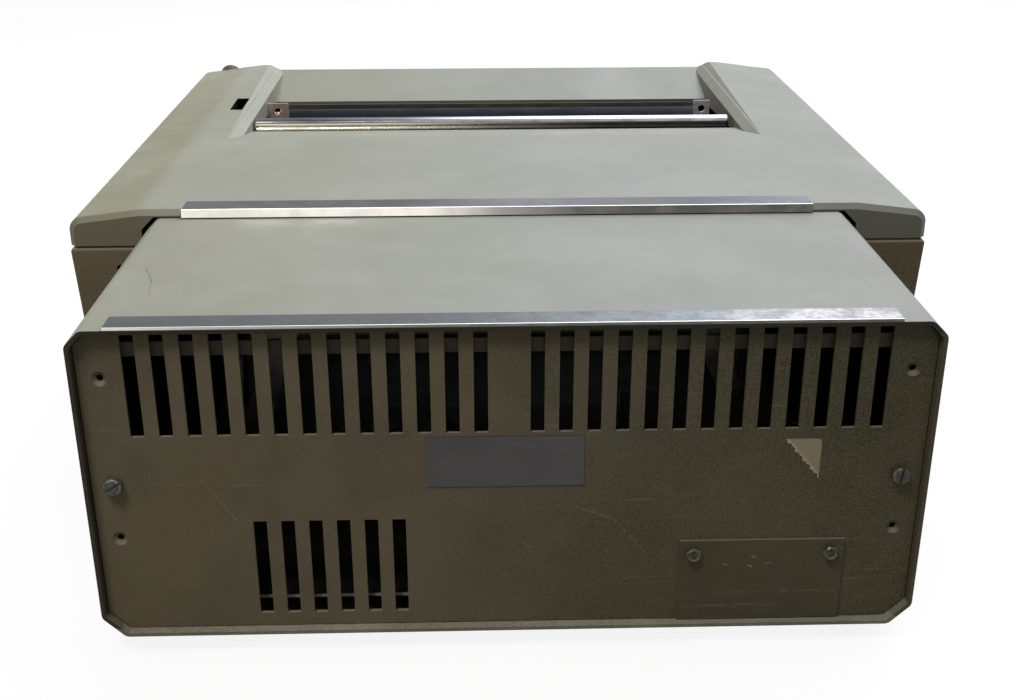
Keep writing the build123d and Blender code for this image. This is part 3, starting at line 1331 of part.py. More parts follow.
def carriage_motor():
    """Stepping motor on the right belt bracket."""
    front_of_bracket = BELT_FRONT + BELT_GAP + BELT_BRACKET_THICKNESS
    y1 = main_y(front_of_bracket)
    body = rod_y(BELT_END_X, BELT_HEIGHT, CARRIAGE_MOTOR_RADIUS, y1 - CARRIAGE_MOTOR_LENGTH, y1)
    bore = PULLEY_SHAFT_RADIUS + RUNNING_CLEARANCE
    depth = 2 * BELT_BRACKET_THICKNESS
    return body - rod_y(BELT_END_X, BELT_HEIGHT, bore, y1 - depth, y1 + 1)


def ribbon_shelf(side):
    """Shelf from a side plate, with the pin that a ribbon spool turns on."""
    plate = block((side * SHELF_X, side * SIDE_OUT_X), (SHELF_REACH_REAR, SHELF_REACH_FRONT),
                  (SHELF_HEIGHT, SHELF_HEIGHT + SHELF_THICKNESS))
    pin = rod_z(side * SPOOL_X, main_y(SPOOL_REACH), SPOOL_PIN_RADIUS, SHELF_HEIGHT, SPOOL_BASE + SPOOL_HEIGHT)
    return plate + pin


def ribbon_spool(side):
    """Spool with its wound ribbon between two thin flanges."""
    x, y = side * SPOOL_X, main_y(SPOOL_REACH)
    top = SPOOL_BASE + SPOOL_HEIGHT
    spool = rod_z(x, y, SPOOL_RADIUS, SPOOL_BASE, SPOOL_BASE + SPOOL_FLANGE)
    spool = spool + rod_z(x, y, SPOOL_RADIUS, top - SPOOL_FLANGE, top)
    spool = spool + rod_z(x, y, SPOOL_HUB_RADIUS, SPOOL_BASE, top)
    return spool - rod_z(x, y, SPOOL_PIN_RADIUS + RUNNING_CLEARANCE, SPOOL_BASE - 1, top + 1)


def ribbon_winding(side):
    """Inked ribbon wound on a spool."""
    x, y = side * SPOOL_X, main_y(SPOOL_REACH)
    low = SPOOL_BASE + SPOOL_FLANGE
    high = SPOOL_BASE + SPOOL_HEIGHT - SPOOL_FLANGE
    full = (SPOOL_RADIUS + SPOOL_HUB_RADIUS) / 2 + side * SPOOL_HUB_RADIUS / 2
    return rod_z(x, y, full, low, high) - rod_z(x, y, SPOOL_HUB_RADIUS, low, high)


def release_lever():
    """Paper release lever, whose finger end stands in the slot of the right cheek."""
    top = TOP - LEVER_TOP_DROP
    half = LEVER_WIDTH / 2
    lever = side_prism([
        (LEVER_REACH - half, LEVER_PIVOT_HEIGHT - LEVER_WIDTH, half - 1),
        (LEVER_REACH + half, LEVER_PIVOT_HEIGHT - LEVER_WIDTH, half - 1),
        (LEVER_REACH + half, top, LEVER_CORNER),
        (LEVER_REACH - half, top, LEVER_CORNER),
    ], LEVER_X, LEVER_X + LEVER_THICKNESS)
    bore = LEVER_PIN_RADIUS + RUNNING_CLEARANCE
    return lever - rod_x(LEVER_REACH, LEVER_PIVOT_HEIGHT, bore, LEVER_X - 1, LEVER_X + LEVER_THICKNESS + 1)


def lever_bracket():
    """Post on the right rail with the pin that the release lever turns on."""
    x1 = LEVER_X - LEVER_SIDE_GAP
    x0 = x1 - LEVER_BRACKET_THICKNESS
    post_x = SIDE_X + RAIL_WIDTH / 2
    reaches = (LEVER_REACH - LEVER_BRACKET_HALF, LEVER_REACH + LEVER_BRACKET_HALF)
    plate = block((x0, x1), reaches, (RAIL_TOP, LEVER_PIVOT_HEIGHT + LEVER_BRACKET_HALF))
    foot = block((post_x - RAIL_WIDTH / 4, x1), reaches, (RAIL_TOP, RAIL_TOP + LEVER_BRACKET_THICKNESS))
    pin = rod_x(LEVER_REACH, LEVER_PIVOT_HEIGHT, LEVER_PIN_RADIUS, x0, LEVER_X + LEVER_THICKNESS + LEVER_SIDE_GAP)
    return plate + foot + pin


def hinge_line():
    """Distance down the face and out from it of the window's hinge axis."""
    return WINDOW_TOP + HINGE_INSET, WINDOW_PROUD - HINGE_INSET


def hinge_pins(radius):
    """Pins that the window turns on, through its ends into the cover."""
    down, out = hinge_line()
    pins = []
    half = WINDOW_WIDTH / 2
    for side in (-1, 1):
        middle = side * (half + WINDOW_GAP / 2)
        length = WINDOW_GAP + 2 * HINGE_PIN_DEPTH
        pins.append(FACE * Pos(middle, -down, out) * Rot(0, 90, 0) * Cylinder(radius, length))
    return pins


def window_frame():
    """Tilting frame of the window, with a finger tab along its lower edge."""
    half = WINDOW_WIDTH / 2
    downs = (WINDOW_TOP, WINDOW_TOP + WINDOW_HEIGHT)
    outs = (WINDOW_PROUD - WINDOW_THICKNESS, WINDOW_PROUD)
    frame = cuboid((-half, half), [-d for d in downs], outs)
    frame = fillet(frame.edges().filter_by(Axis.Z), WINDOW_CORNER)
    xs, ys = pane_edges(-PANE_REBATE)
    frame = frame - cuboid(xs, ys, (-2 * WINDOW_THICKNESS, WINDOW_THICKNESS))
    xs, ys = pane_edges(0)
    frame = frame - cuboid(xs, ys, (WINDOW_PROUD - PANE_THICKNESS, WINDOW_THICKNESS))
    tab_half = TAB_WIDTH / 2
    low = -downs[1]
    tab = cuboid((-tab_half, tab_half), (low - TAB_LENGTH / 2, low + TAB_LENGTH / 2),
                 (2 * WINDOW_PROUD, WINDOW_PROUD + TAB_PROUD))
    root = cuboid((-tab_half, tab_half), (low, low + TAB_LENGTH / 2), (0, 2 * WINDOW_PROUD))
    frame = FACE * (frame + root + tab)
    for pin in hinge_pins(HINGE_PIN_RADIUS + RUNNING_CLEARANCE):
        frame = frame - pin
    return frame


def pane_edges(grow):
    """X and Y pairs of the window pane in the face's frame."""
    half = WINDOW_WIDTH / 2 - WINDOW_RIM + grow
    high = -WINDOW_TOP - WINDOW_RIM + grow
    low = -WINDOW_TOP - WINDOW_HEIGHT + WINDOW_RIM - grow
    return (-half, half), (low, high)


def window_pane():
    xs, ys = pane_edges(0)
    return FACE * cuboid(xs, ys, (WINDOW_PROUD - PANE_THICKNESS, WINDOW_PROUD))


def knob_bar(radius, out0, out1):
    """Round bar square to the front face at the knob's place."""
    place = FACE * Pos(KNOB_X, -KNOB_BELOW_CREST, (out0 + out1) / 2)
    return place * Cylinder(radius, out1 - out0)


def knob():
    """Knob with a dished end, on the shaft of its switch."""
    cap = knob_bar(KNOB_RADIUS, KNOB_GAP, KNOB_GAP + KNOB_LENGTH)
    cap = fillet(cap.edges().filter_by(GeomType.CIRCLE), KNOB_EDGE)
    end = KNOB_GAP + KNOB_LENGTH
    cap = cap - knob_bar(KNOB_DISH_RADIUS, end - KNOB_DISH_DEPTH, end + 1)
    return cap + knob_bar(KNOB_SHAFT_RADIUS, -COVER_WALL - SWITCH_LENGTH / 2, KNOB_GAP)


def knob_switch():
    """Rotary switch behind the front face."""
    body = knob_bar(SWITCH_RADIUS, -COVER_WALL - SWITCH_LENGTH, -COVER_WALL)
    bore = KNOB_SHAFT_RADIUS + RUNNING_CLEARANCE
    return body - knob_bar(bore, -COVER_WALL - SWITCH_LENGTH / 2 - 1, 0)


def key(width):
    """One key cap with its dished top and stem, at the origin of the deck's frame."""
    cap = Pos(0, 0, -KEY_SKIRT) * extrude(Rectangle(width, KEY_SIZE), amount=KEY_TOP + KEY_SKIRT, taper=KEY_TAPER)
    cap = fillet(cap.faces().sort_by(Axis.Z)[-1].edges(), KEY_EDGE)
    dish_z = KEY_TOP + KEY_DISH_RADIUS - KEY_DISH_DEPTH
    if width == KEY_SIZE:
        cap = cap - Pos(0, 0, dish_z) * Rot(90, 0, 0) * Cylinder(KEY_DISH_RADIUS, 2 * KEY_SIZE)
    half = KEY_STEM / 2
    stem = cuboid((-half, half), (-half, half), (-KEY_SKIRT - KEY_STEM_LENGTH, -KEY_SKIRT))
    return cap + stem


def key_places():
    """Deck X and distance forward of every key, by row."""
    places = {}
    for row, (name, count, shift) in enumerate(zip(KEY_ROWS, KEY_COUNTS, KEY_SHIFTS)):
        back = FIRST_ROW + row * KEY_PITCH
        places[name] = [(KEY_LEFT_X + shift + index * KEY_PITCH, back) for index in range(count)]
    return places


def space_bar():
    middle = (WELL_LEFT + WELL_RIGHT) / 2
    return DECK * Pos(middle, -SPACE_ROW, 0) * key(SPACE_BAR_WIDTH)


def keyboard_frame():
    """Walls under the deck that hold the key plate and the contact board."""
    wall = KEYBOARD_WALL
    ups = (-KEYBOARD_DEPTH, -UNDER_DECK)
    outer = in_deck((WELL_LEFT - wall, WELL_RIGHT + wall), (WELL_REAR - wall, WELL_FRONT + wall), ups)
    return outer - in_deck((WELL_LEFT, WELL_RIGHT), (WELL_REAR, WELL_FRONT), ups)


def key_plate():
    """Plate that guides every key stem."""
    plate = in_deck((WELL_LEFT, WELL_RIGHT), (WELL_REAR, WELL_FRONT), (-KEY_PLATE_DROP - KEY_PLATE, -KEY_PLATE_DROP))
    stems = [place for row in key_places().values() for place in row]
    stems.append(((WELL_LEFT + WELL_RIGHT) / 2, SPACE_ROW))
    half = KEY_STEM / 2 + KEY_CLEARANCE
    holes = [in_deck((x - half, x + half), (b - half, b + half), (-KEYBOARD_DEPTH, 0)) for x, b in stems]
    return plate - holes


def button(index):
    """Illuminated push button with its stem."""
    half = BUTTON_SIZE / 2
    cap = cuboid((-half, half), (-half, half), (-BUTTON_SKIRT, BUTTON_TOP))
    cap = fillet(cap.faces().sort_by(Axis.Z)[-1].edges(), KEY_EDGE)
    stem_half = KEY_STEM / 2
    stem = cuboid((-stem_half, stem_half), (-stem_half, stem_half), (-BUTTON_SKIRT - BUTTON_STEM_LENGTH, -BUTTON_SKIRT))
    return DECK * Pos(BUTTON_X + index * BUTTON_PITCH, -BUTTON_BACK, 0) * (cap + stem)


def box_base_plate():
    """Plate across the rails in the control box that carries the power supply."""
    half = SIDE_X + RAIL_WIDTH / 2
    backs = (RAIL_REAR_BACK, BOX_DEPTH - BASE_PLATE_MARGIN)
    return block((-half, half), backs, (RAIL_TOP, BASE_TOP), box_y)


def transformer():
    """Laminated core of the mains transformer, with its two windows for the coil."""
    width, depth, height = TRANSFORMER_SIZE
    x0, x1 = TRANSFORMER_X - width / 2, TRANSFORMER_X + width / 2
    backs = (TRANSFORMER_BACK, TRANSFORMER_BACK + depth / 2)
    core = block((x0, x1), backs, (BASE_TOP, BASE_TOP + height), box_y)
    leg = width / 6
    for side in (-1, 1):
        middle = TRANSFORMER_X + side * width / 4
        core = core - block((middle - leg / 2, middle + leg / 2), backs,
                            (BASE_TOP + leg, BASE_TOP + height - leg), box_y)
    return core


def transformer_coil():
    """Wound coil round the transformer's middle limb."""
    width, depth, height = TRANSFORMER_SIZE
    leg = width / 6
    outer_half = width / 4 + leg / 2
    inner_half = width / 4 - leg / 2
    low, high = BASE_TOP + leg, BASE_TOP + height - leg
    backs = (TRANSFORMER_BACK - COIL_MARGIN, TRANSFORMER_BACK + depth / 2 + COIL_MARGIN)
    coil = block((TRANSFORMER_X - outer_half, TRANSFORMER_X + outer_half), backs, (low, high), box_y)
    backs = (TRANSFORMER_BACK, TRANSFORMER_BACK + depth / 2)
    return coil - block((TRANSFORMER_X - inner_half, TRANSFORMER_X + inner_half), backs, (low, high), box_y)


def top_stiffener():
    """Angle bar between the side brackets, behind the upper vents."""
    half = BOX_HALF - BOX_WALL - BRACKET_THICKNESS
    low = STIFFENER_TOP - STIFFENER_TALL
    flange = block((-half, half), (STIFFENER_BACK, STIFFENER_BACK + STIFFENER_DEPTH), (low, low + BRACKET_THICKNESS),
                   box_y)
    web = block((-half, half), (STIFFENER_BACK, STIFFENER_BACK + BRACKET_THICKNESS), (low, STIFFENER_TOP), box_y)
    return flange + web


save("top_cover", top_cover())
save("lower_casing", lower_casing())
save("casing_screws", *casing_screws())
save("keyboard_surround", keyboard_surround())
save("box_shell", box_shell())
save("rear_panel", rear_panel())
save("box_brackets", *panel_brackets(), top_stiffener())
save("panel_screws", *panel_screws())
save("blanking_plate", blanking_plate())
save("blanking_screws", *blanking_screws())
save("name_plate", name_plate())
save("box_trim", box_trim())
save("cover_trim", cover_trim())
save("feet", *feet())
save("foot_screws", *foot_screws())
save("chassis_rails", rail(-1), rail(1))
save("chassis_ties", *cross_members(), box_base_plate())
save("transformer", transformer(), transformer_coil())
save("side_plates", side_plate(-1), side_plate(1))
save("platen_bushes", *platen_bushes())
save("platen", platen_rubber())
save("platen_shaft", platen_shaft() + platen_core())
save("platen_gear", platen_gear())
save("feed_pinion", feed_pinion() + feed_shaft())
save("feed_motor", feed_motor())
save("feed_bracket", feed_bracket())
save("pressure_rollers", nip_shaft(), *nip_rollers())
save("line_scale", line_scale())
save("guide_rod", guide_rod())
save("tear_strip", tear_strip())
save("left_clip", platen_clip(-1, LEFT_CLIP_X))
save("right_clip", platen_clip(1, RIGHT_CLIP_X))
save("roll_spindle", spindle() + spindle_flanges())
save("spindle_brackets", *spindle_brackets())
save("carriage_rods", *carriage_rods())
save("carriage", carriage() + belt_clamp())
save("type_cylinder", type_cylinder())
save("carriage_belt", carriage_belt())
save("left_belt_pulley", belt_pulley(-1))
save("right_belt_pulley", belt_pulley(1))
save("belt_brackets", *belt_brackets())
save("carriage_motor", carriage_motor())
save("ribbon_shelves", ribbon_shelf(-1), ribbon_shelf(1))
save("left_ribbon_spool", ribbon_spool(-1) + ribbon_winding(-1))
save("right_ribbon_spool", ribbon_spool(1) + ribbon_winding(1))
save("release_lever", release_lever())
save("lever_bracket", lever_bracket())
save("window_frame", window_frame())
save("window_pane", window_pane())
save("hinge_pins", *hinge_pins(HINGE_PIN_RADIUS))
save("mode_knob", knob())
save("knob_switch", knob_switch())
letter_key = key(KEY_SIZE)
for row_name, places in key_places().items():
    save(row_name, *[DECK * Pos(x, -back, 0) * letter_key for x, back in places])
save("space_bar", space_bar())
save("key_frame", keyboard_frame(), key_plate())
for number, button_name in enumerate(BUTTONS):
    save(button_name, button(number))
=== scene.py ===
import json
from math import cos, pi, radians, sin

import bpy
from mathutils import Matrix, Vector

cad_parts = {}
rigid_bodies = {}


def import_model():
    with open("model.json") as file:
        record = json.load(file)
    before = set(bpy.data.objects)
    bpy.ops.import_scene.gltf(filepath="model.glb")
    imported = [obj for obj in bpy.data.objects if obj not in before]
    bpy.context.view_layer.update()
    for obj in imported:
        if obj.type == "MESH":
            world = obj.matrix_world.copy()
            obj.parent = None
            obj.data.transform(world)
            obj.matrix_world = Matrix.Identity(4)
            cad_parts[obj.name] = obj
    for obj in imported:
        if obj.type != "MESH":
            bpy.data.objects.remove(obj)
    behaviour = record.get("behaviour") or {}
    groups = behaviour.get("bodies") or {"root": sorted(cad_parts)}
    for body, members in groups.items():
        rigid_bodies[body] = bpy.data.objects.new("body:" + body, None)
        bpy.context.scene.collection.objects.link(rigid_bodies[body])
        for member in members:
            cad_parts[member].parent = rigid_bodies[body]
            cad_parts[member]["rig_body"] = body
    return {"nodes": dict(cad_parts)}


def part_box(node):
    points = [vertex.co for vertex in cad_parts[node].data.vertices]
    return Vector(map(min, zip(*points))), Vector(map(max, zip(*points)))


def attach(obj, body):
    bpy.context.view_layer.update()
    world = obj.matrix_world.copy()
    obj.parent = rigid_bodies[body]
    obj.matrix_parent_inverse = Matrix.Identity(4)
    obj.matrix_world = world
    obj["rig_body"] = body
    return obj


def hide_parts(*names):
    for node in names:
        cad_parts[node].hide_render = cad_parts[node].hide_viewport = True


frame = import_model()
NODES = frame["nodes"]

bl_info = {
    "name": "Teleprinter",
    "version": (1, 0, 0),
    "blender": (4, 5, 0),
    "location": "3D View > Sidebar > Teleprinter",
    "description": "Finishes, small parts and stage of a teleprinter around its packed frame",
    "category": "Object",
}

REAR_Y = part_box("rear_panel")[1][1]
CREST = Vector((0, -0.239905, 0.202))
FACE_TILT = radians(67.6)
FACE = Matrix.Translation(CREST) @ Matrix.Rotation(FACE_TILT, 4, "X")
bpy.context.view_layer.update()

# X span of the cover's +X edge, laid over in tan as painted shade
TAN_SHADE_EDGE = (0.226, 0.238)
# X span over which the cover passes into its painted cool sheen
COOL_SPAN = (0.19, -0.10)
# X spans of the painted shade on rear faces: darker towards -X, and at the rear -X corner
SHADE_SPAN = (0.15, -0.2)
SHADED_CORNER = (-0.14, -0.22)
LOOKS_BACK = (0.55, 0.9)
LOOKS_ASIDE = (0.75, 0.97)
SLOPES_INWARDS = (-0.05, -0.095)
TROUGH_FLOOR = 0.178
TROUGH_HALF = 0.206
TROUGH_SPAN = (-0.245, 0.04)
TRAY_RIM = 0.170
LIP_TOP = (0.0180, 0.0168)
RIM_TOP = (0.1900, 0.1915)
INSIDE_SHADE_WORN = (0.008, 0.008, 0.007)
BOX_PARTING = REAR_Y - 0.001
STICKER_LEFT, STICKER_RIGHT = -0.1680, -0.1480
STICKER_LOW, STICKER_HIGH = 0.1037, 0.1278
STICKER_LEAN = 0.82
STICKER_JAGS = 26
SLOTTED_RADIUS = 0.0051
SLOTTED_DEPTH = 0.0050
SLOT_TURNS = {1: radians(-58), -1: radians(-8)}
HEXAGON_ACROSS = 0.008
HEXAGON_DEPTH = 0.0036
HEXAGON_TURNS = (0.30, 0.12)
STRIP_FLARE = 0.38
KNOB_PLACE = (0.2511, -0.0150)
KNOB_RADIUS = 0.0094
KNOB_DEPTH = 0.0118
KNOB_MIDDLE = 0.0069
KNOB_FACE = 0.0117
KNOB_FACE_REACH = 0.0062
END_KEY = 0.018
CAMERA_PLACE = (0.01783, 1.03916, 0.45054)
CAMERA_PAN = radians(178.4416)
CAMERA_TILT = radians(66.876)
CAMERA_ROLL = -0.0015
CAMERA_LENS = 46.887
FLOOR_SIZE = 30
TOLERANCE = 1e-5


def colour(name, description, default):
    """Colour property with its default in linear light."""
    return bpy.props.FloatVectorProperty(
        name=name, description=description, default=default, size=3, min=0, max=1, subtype="COLOR")


def length(name, description, default, high=0.02):
    """Length property in metres."""
    return bpy.props.FloatProperty(
        name=name, description=description, default=default, min=0, max=high, unit="LENGTH", precision=5)


def level(name, description, default):
    """Property for a lamp's watts or a strength."""
    return bpy.props.FloatProperty(name=name, description=description, default=default, min=0)


class CasingLook(bpy.types.PropertyGroup):
    cover: colour("Cover", "Moulded grey-green cover and box, on the operator's right", (0.330, 0.335, 0.272))
    # Cooler, paler cover towards -X: painted cool sheen
    cover_cool_sheen: colour("Cover, cooler", "Cover on the operator's left", (0.345, 0.370, 0.350))
    # Broad paler patches on the cover: painted sheen
    cover_sheen: colour("Cover, rubbed", "Cover where hands and cloths have rubbed it", (0.44, 0.455, 0.415))
    # Tan tone: in random patches, and as painted shade along the cover's +X edge
    cover_tan_and_shade: colour("Cover, aged", "Cover edge gone tan with age", (0.262, 0.248, 0.150))
    # Trough slopes: painted light on the one facing -X, painted shade on the one facing +X
    slope_lit: colour("Trough side, right", "Pale slope beside the paper trough", (0.50, 0.52, 0.46))
    slope_shaded: colour("Trough side, left", "Brownish slope beside the paper trough", (0.175, 0.170, 0.120))
    # Rear and side faces in brown: painted shade, darker towards -X
    cover_rear_shade: colour("Cover, rear", "Grime on the cover's rear faces", (0.245, 0.205, 0.120))
    rear_shade_dark: colour("Cover, rear left", "Grime there on the operator's left", (0.105, 0.095, 0.058))
    rim: colour("Box rim", "Brown rim of the box on the operator's left", (0.155, 0.132, 0.078))
    # Paler lower lip of the box: painted light
    lip: colour("Box, lower lip", "Lower lip of the box, rubbed paler", (0.50, 0.47, 0.33))
    rim_dark: colour("Box rim, darker", "Rim of the box on the operator's right", (0.060, 0.052, 0.036))
    casing: colour("Lower casing", "Tray under the cover", (0.235, 0.190, 0.112))
    panel: colour("Panel", "Painted sheet of the rear panel", (0.215, 0.184, 0.112))
    # Darker side of the panel: painted shade where the light falls off
    panel_falloff_shade: colour("Panel, darker side", "Rear panel towards the cable opening", (0.066, 0.062, 0.034))
    # Near-black inside of the casings: painted shade
    inside: colour("Inside", "Dark inside of the casings", (0.005, 0.0045, 0.004))
    # Also the painted highlight on upward faces of the sheet paint
    scratch_and_highlight: colour("Scratch", "Bare line scratched through the paint", (0.50, 0.46, 0.36))
    dust: colour("Dust", "Dust settled on flat places", (0.50, 0.48, 0.42))


class SmallPartLook(bpy.types.PropertyGroup):
    plate: colour("Bare plate", "Bare plate on the rear panel", (0.052, 0.049, 0.048))
    sticker: colour("Sticker remnant", "Plain buff remains of a sticker", (0.47, 0.40, 0.255))
    torn: colour("Torn edge", "White paper along the torn edge", (0.66, 0.59, 0.44))
    strip: colour("Trim strip", "Scuffed bright strips", (0.205, 0.235, 0.270))
    zinc: colour("Zinc", "Zinc plated screws and brackets", (0.42, 0.42, 0.40))
    brass: colour("Warm clip", "Dull warm clip on the operator's right", (0.72, 0.58, 0.50))
    clip: colour("Silver clip", "Bright clip on the operator's left", (0.78, 0.77, 0.75))
    rubber: colour("Platen", "Rubber of the platen", (0.004, 0.005, 0.010))
    keys: colour("Keys", "Light key caps", (0.52, 0.51, 0.44))
    keys_dark: colour("End keys", "Dark key caps and space bar", (0.085, 0.085, 0.075))
    call: colour("Call button", "Red lens", (0.50, 0.035, 0.02))
    clear: colour("Clear button", "Cream lens", (0.72, 0.66, 0.48))


class EdgeSizes(bpy.types.PropertyGroup):
    cover: length("Cover edges", "Rounding of the moulded cover", 0.0011)
    box: length("Box edges", "Rounding of the box's rims", 0.0007)
    panel: length("Panel edges", "Rounding of sheet edges", 0.00035)
    keys: length("Key edges", "Rounding of key caps", 0.0004)
    frame: length("Window edges", "Rounding of the window frame", 0.0007)
    strip: length("Strip edges", "Rounding of the trim strips", 0.0005)


class ScrewSizes(bpy.types.PropertyGroup):
    slot_width: length("Slot width", "Width of the screwdriver slot", 0.0014)
    slot_depth: length("Slot depth", "Depth of the screwdriver slot", 0.0015)
    pan_round: length("Pan rounding", "Rounding of the slotted heads", 0.0016)
    dish: length("Dish depth", "Depth of the dish in the hexagon heads", 0.0007)


class StageLook(bpy.types.PropertyGroup):
    key: level("Overhead", "Watts of the softbox over the front", 47)
    rear: level("Rear", "Watts of the lamp high behind", 20)
    sky: level("Sky", "Strength of the even light around", 0.13)
    floor: colour("Floor", "Floor as it lights the object", (0.17, 0.17, 0.17))


def add(tree, kind, inputs=None, **settings):
    """Add a node with its settings, input values and links, and give back its outputs."""
    node = tree.nodes.new(kind)
    for key, value in settings.items():
        setattr(node, key, value)
    for key, value in (inputs or {}).items():
        if isinstance(value, bpy.types.NodeSocket):
            tree.links.new(value, node.inputs[key])
        else:
            node.inputs[key].default_value = value
    return node.outputs


def rgba(value):
    """Colour with its alpha, or a link as it is."""
    return value if isinstance(value, bpy.types.NodeSocket) else (*value[:3], 1.0)


def mixed(tree, mask, first, second):
    """Colour between two, by a mask."""
    return add(tree, "ShaderNodeMix", {0: mask, 6: rgba(first), 7: rgba(second)}, data_type="RGBA")[2]


def number(tree, operation, first, second=0.0, clamp=False):
    """Result of one sum."""
    return add(tree, "ShaderNodeMath", {0: first, 1: second}, operation=operation, use_clamp=clamp)[0]


def times(tree, first, second):
    return number(tree, "MULTIPLY", first, second)


def laid(tree, tone, mask, share, over):
    """Colour with another laid over it, by a share of a mask."""
    return mixed(tree, times(tree, mask, share), tone, over)


def normal_of(tree):
    """X, Y and Z of the surface's normal."""
    return add(tree, "ShaderNodeSeparateXYZ", {0: add(tree, "ShaderNodeNewGeometry")["Normal"]})


def ranged(tree, value, low, high, to_low=0.0, to_high=1.0):
    """Value moved smoothly from one range to another."""
    return add(tree, "ShaderNodeMapRange", {"Value": value, "From Min": low, "From Max": high,
                                            "To Min": to_low, "To Max": to_high},
               interpolation_type="SMOOTHSTEP")["Result"]


def graded(tree, value, stops):
    """Colour that passes through stops of (place, colour)."""
    node = tree.nodes.new("ShaderNodeValToRGB")
    tree.links.new(value, node.inputs[0])
    elements = node.color_ramp.elements
    for element, (place, tone) in zip((elements[0], elements[1]), (stops[0], stops[-1])):
        element.position = place
        element.color = rgba(tone)
    for place, tone in stops[1:-1]:
        elements.new(place).color = rgba(tone)
    return node.outputs[0]


ORIGIN = (0.0, 0.0, 0.0)


def new_group(name, outputs, **inputs):
    """Node group that takes a place, and numbers or further places with these defaults."""
    group = bpy.data.node_groups.new(name, "ShaderNodeTree")
    for label, default in {"Vector": ORIGIN, **inputs}.items():
        kind = "NodeSocketVector" if isinstance(default, tuple) else "NodeSocketFloat"
        group.interface.new_socket(label, in_out="INPUT", socket_type=kind).default_value = default
    for label in outputs:
        group.interface.new_socket(label, in_out="OUTPUT", socket_type="NodeSocketFloat")
    return group, group.nodes.new("NodeGroupInput").outputs, group.nodes.new("NodeGroupOutput").inputs


def noise(tree, place, size, **settings):
    """Even noise of a size."""
    return add(tree, "ShaderNodeTexNoise", {"Vector": place, "Scale": size, **settings})[0]


def vectors(tree, operation, first, second):
    """Result of one sum of two vectors."""
    return add(tree, "ShaderNodeVectorMath", {0: first, 1: second}, operation=operation)


def make_blotches():
    """Soft uneven patches."""
    group, start, end = new_group("Blotches", ["Mask"], Size=10.0, Low=0.4, High=0.65)
    cloud = noise(group, start["Vector"], start["Size"], Detail=5.0, Roughness=0.6)
    group.links.new(ranged(group, cloud, start["Low"], start["High"]), end["Mask"])


def make_grain():
    """Fine moulded or sprayed texture."""
    group, start, end = new_group("Grain", ["Height", "Fleck"], Size=900.0)
    fine = noise(group, start["Vector"], start["Size"], Detail=2.0, Roughness=0.7)
    group.links.new(fine, end["Height"])
    group.links.new(ranged(group, fine, 0.35, 0.65), end["Fleck"])


def make_specks():
    """Small scattered spots."""
    group, start, end = new_group("Specks", ["Mask"], Size=120.0, Radius=0.12, Share=0.1)
    cell = add(group, "ShaderNodeTexVoronoi", {"Vector": start["Vector"], "Scale": start["Size"]})
    chance = add(group, "ShaderNodeSeparateColor", {"Color": cell["Color"]})["Red"]
    near = ranged(group, cell["Distance"], start["Radius"], 0.0)
    picked = number(group, "LESS_THAN", chance, start["Share"])
    group.links.new(times(group, near, picked), end["Mask"])


def make_scuffs():
    """Long faint rubbed lines along the vector's X, in patches."""
    group, start, end = new_group("Scuffs", ["Mask"], Size=220.0, Stretch=0.04, Amount=0.64)
    squeeze = add(group, "ShaderNodeCombineXYZ", {"X": start["Stretch"], "Y": 1.0, "Z": 1.0})[0]
    place = vectors(group, "MULTIPLY", start["Vector"], squeeze)[0]
    lines = noise(group, place, start["Size"], Detail=3.0)
    patches = noise(group, start["Vector"], 9.0, Detail=2.0)
    sharp = ranged(group, lines, start["Amount"], 0.78)
    group.links.new(times(group, sharp, ranged(group, patches, 0.42, 0.6)), end["Mask"])


def make_stroke():
    """One scratched line from a start to an end, broken up along its way."""
    group, start, end = new_group("Stroke", ["Mask"], Start=ORIGIN, End=(1.0, 0.0, 0.0), Width=0.0006)
    run = vectors(group, "SUBTRACT", start["End"], start["Start"])[0]
    off = vectors(group, "SUBTRACT", start["Vector"], start["Start"])[0]
    dots = [vectors(group, "DOT_PRODUCT", v, run)["Value"] for v in (off, run)]
    share = number(group, "DIVIDE", dots[0], dots[1], clamp=True)
    along = add(group, "ShaderNodeVectorMath", {0: run, "Scale": share}, operation="SCALE")[0]
    line = ranged(group, vectors(group, "DISTANCE", off, along)["Value"], start["Width"], 0.0)
    gaps = ranged(group, noise(group, start["Vector"], 400.0), 0.35, 0.6)
    group.links.new(times(group, line, gaps), end["Mask"])


def make_dust():
    """Dust on what faces up."""
    group, start, end = new_group("Dust", ["Mask"], Size=60.0)
    flat = ranged(group, normal_of(group)["Z"], 0.5, 0.98)
    settled = ranged(group, noise(group, start["Vector"], start["Size"], Detail=6.0), 0.45, 0.75)
    group.links.new(times(group, flat, settled), end["Mask"])


def effect(tree, name, output=0, **inputs):
    """Place a node group in a material and give back one of its outputs."""
    node = tree.nodes.new("ShaderNodeGroup")
    node.node_tree = bpy.data.node_groups[name]
    for label, value in inputs.items():
        if isinstance(value, bpy.types.NodeSocket):
            tree.links.new(value, node.inputs[label])
        else:
            node.inputs[label].default_value = value
    return node.outputs[output]


def tinted(tree, place, tone, share, over, name, **settings):
    """Lay a colour over another by a share of one effect."""
    return laid(tree, tone, effect(tree, name, Vector=place, **settings), share, over)


def start_material(name, **shader):
    """Material with its Principled shader, its tree and the piece's own coordinates."""
    material = bpy.data.materials.new(name)
    material.use_nodes = True
    tree = material.node_tree
    tree.nodes.clear()
    principled = tree.nodes.new("ShaderNodeBsdfPrincipled")
    for label, value in shader.items():
        principled.inputs[label.replace("_", " ")].default_value = value
    add(tree, "ShaderNodeOutputMaterial", {"Surface": principled.outputs[0]})
    place = add(tree, "ShaderNodeTexCoord")["Object"]
    return material, tree, principled, place


def bumped(tree, principled, height, strength, distance):
    """Give the shader its relief."""
    normal = add(tree, "ShaderNodeBump", {"Height": height, "Strength": strength, "Distance": distance})[0]
    tree.links.new(normal, principled.inputs["Normal"])


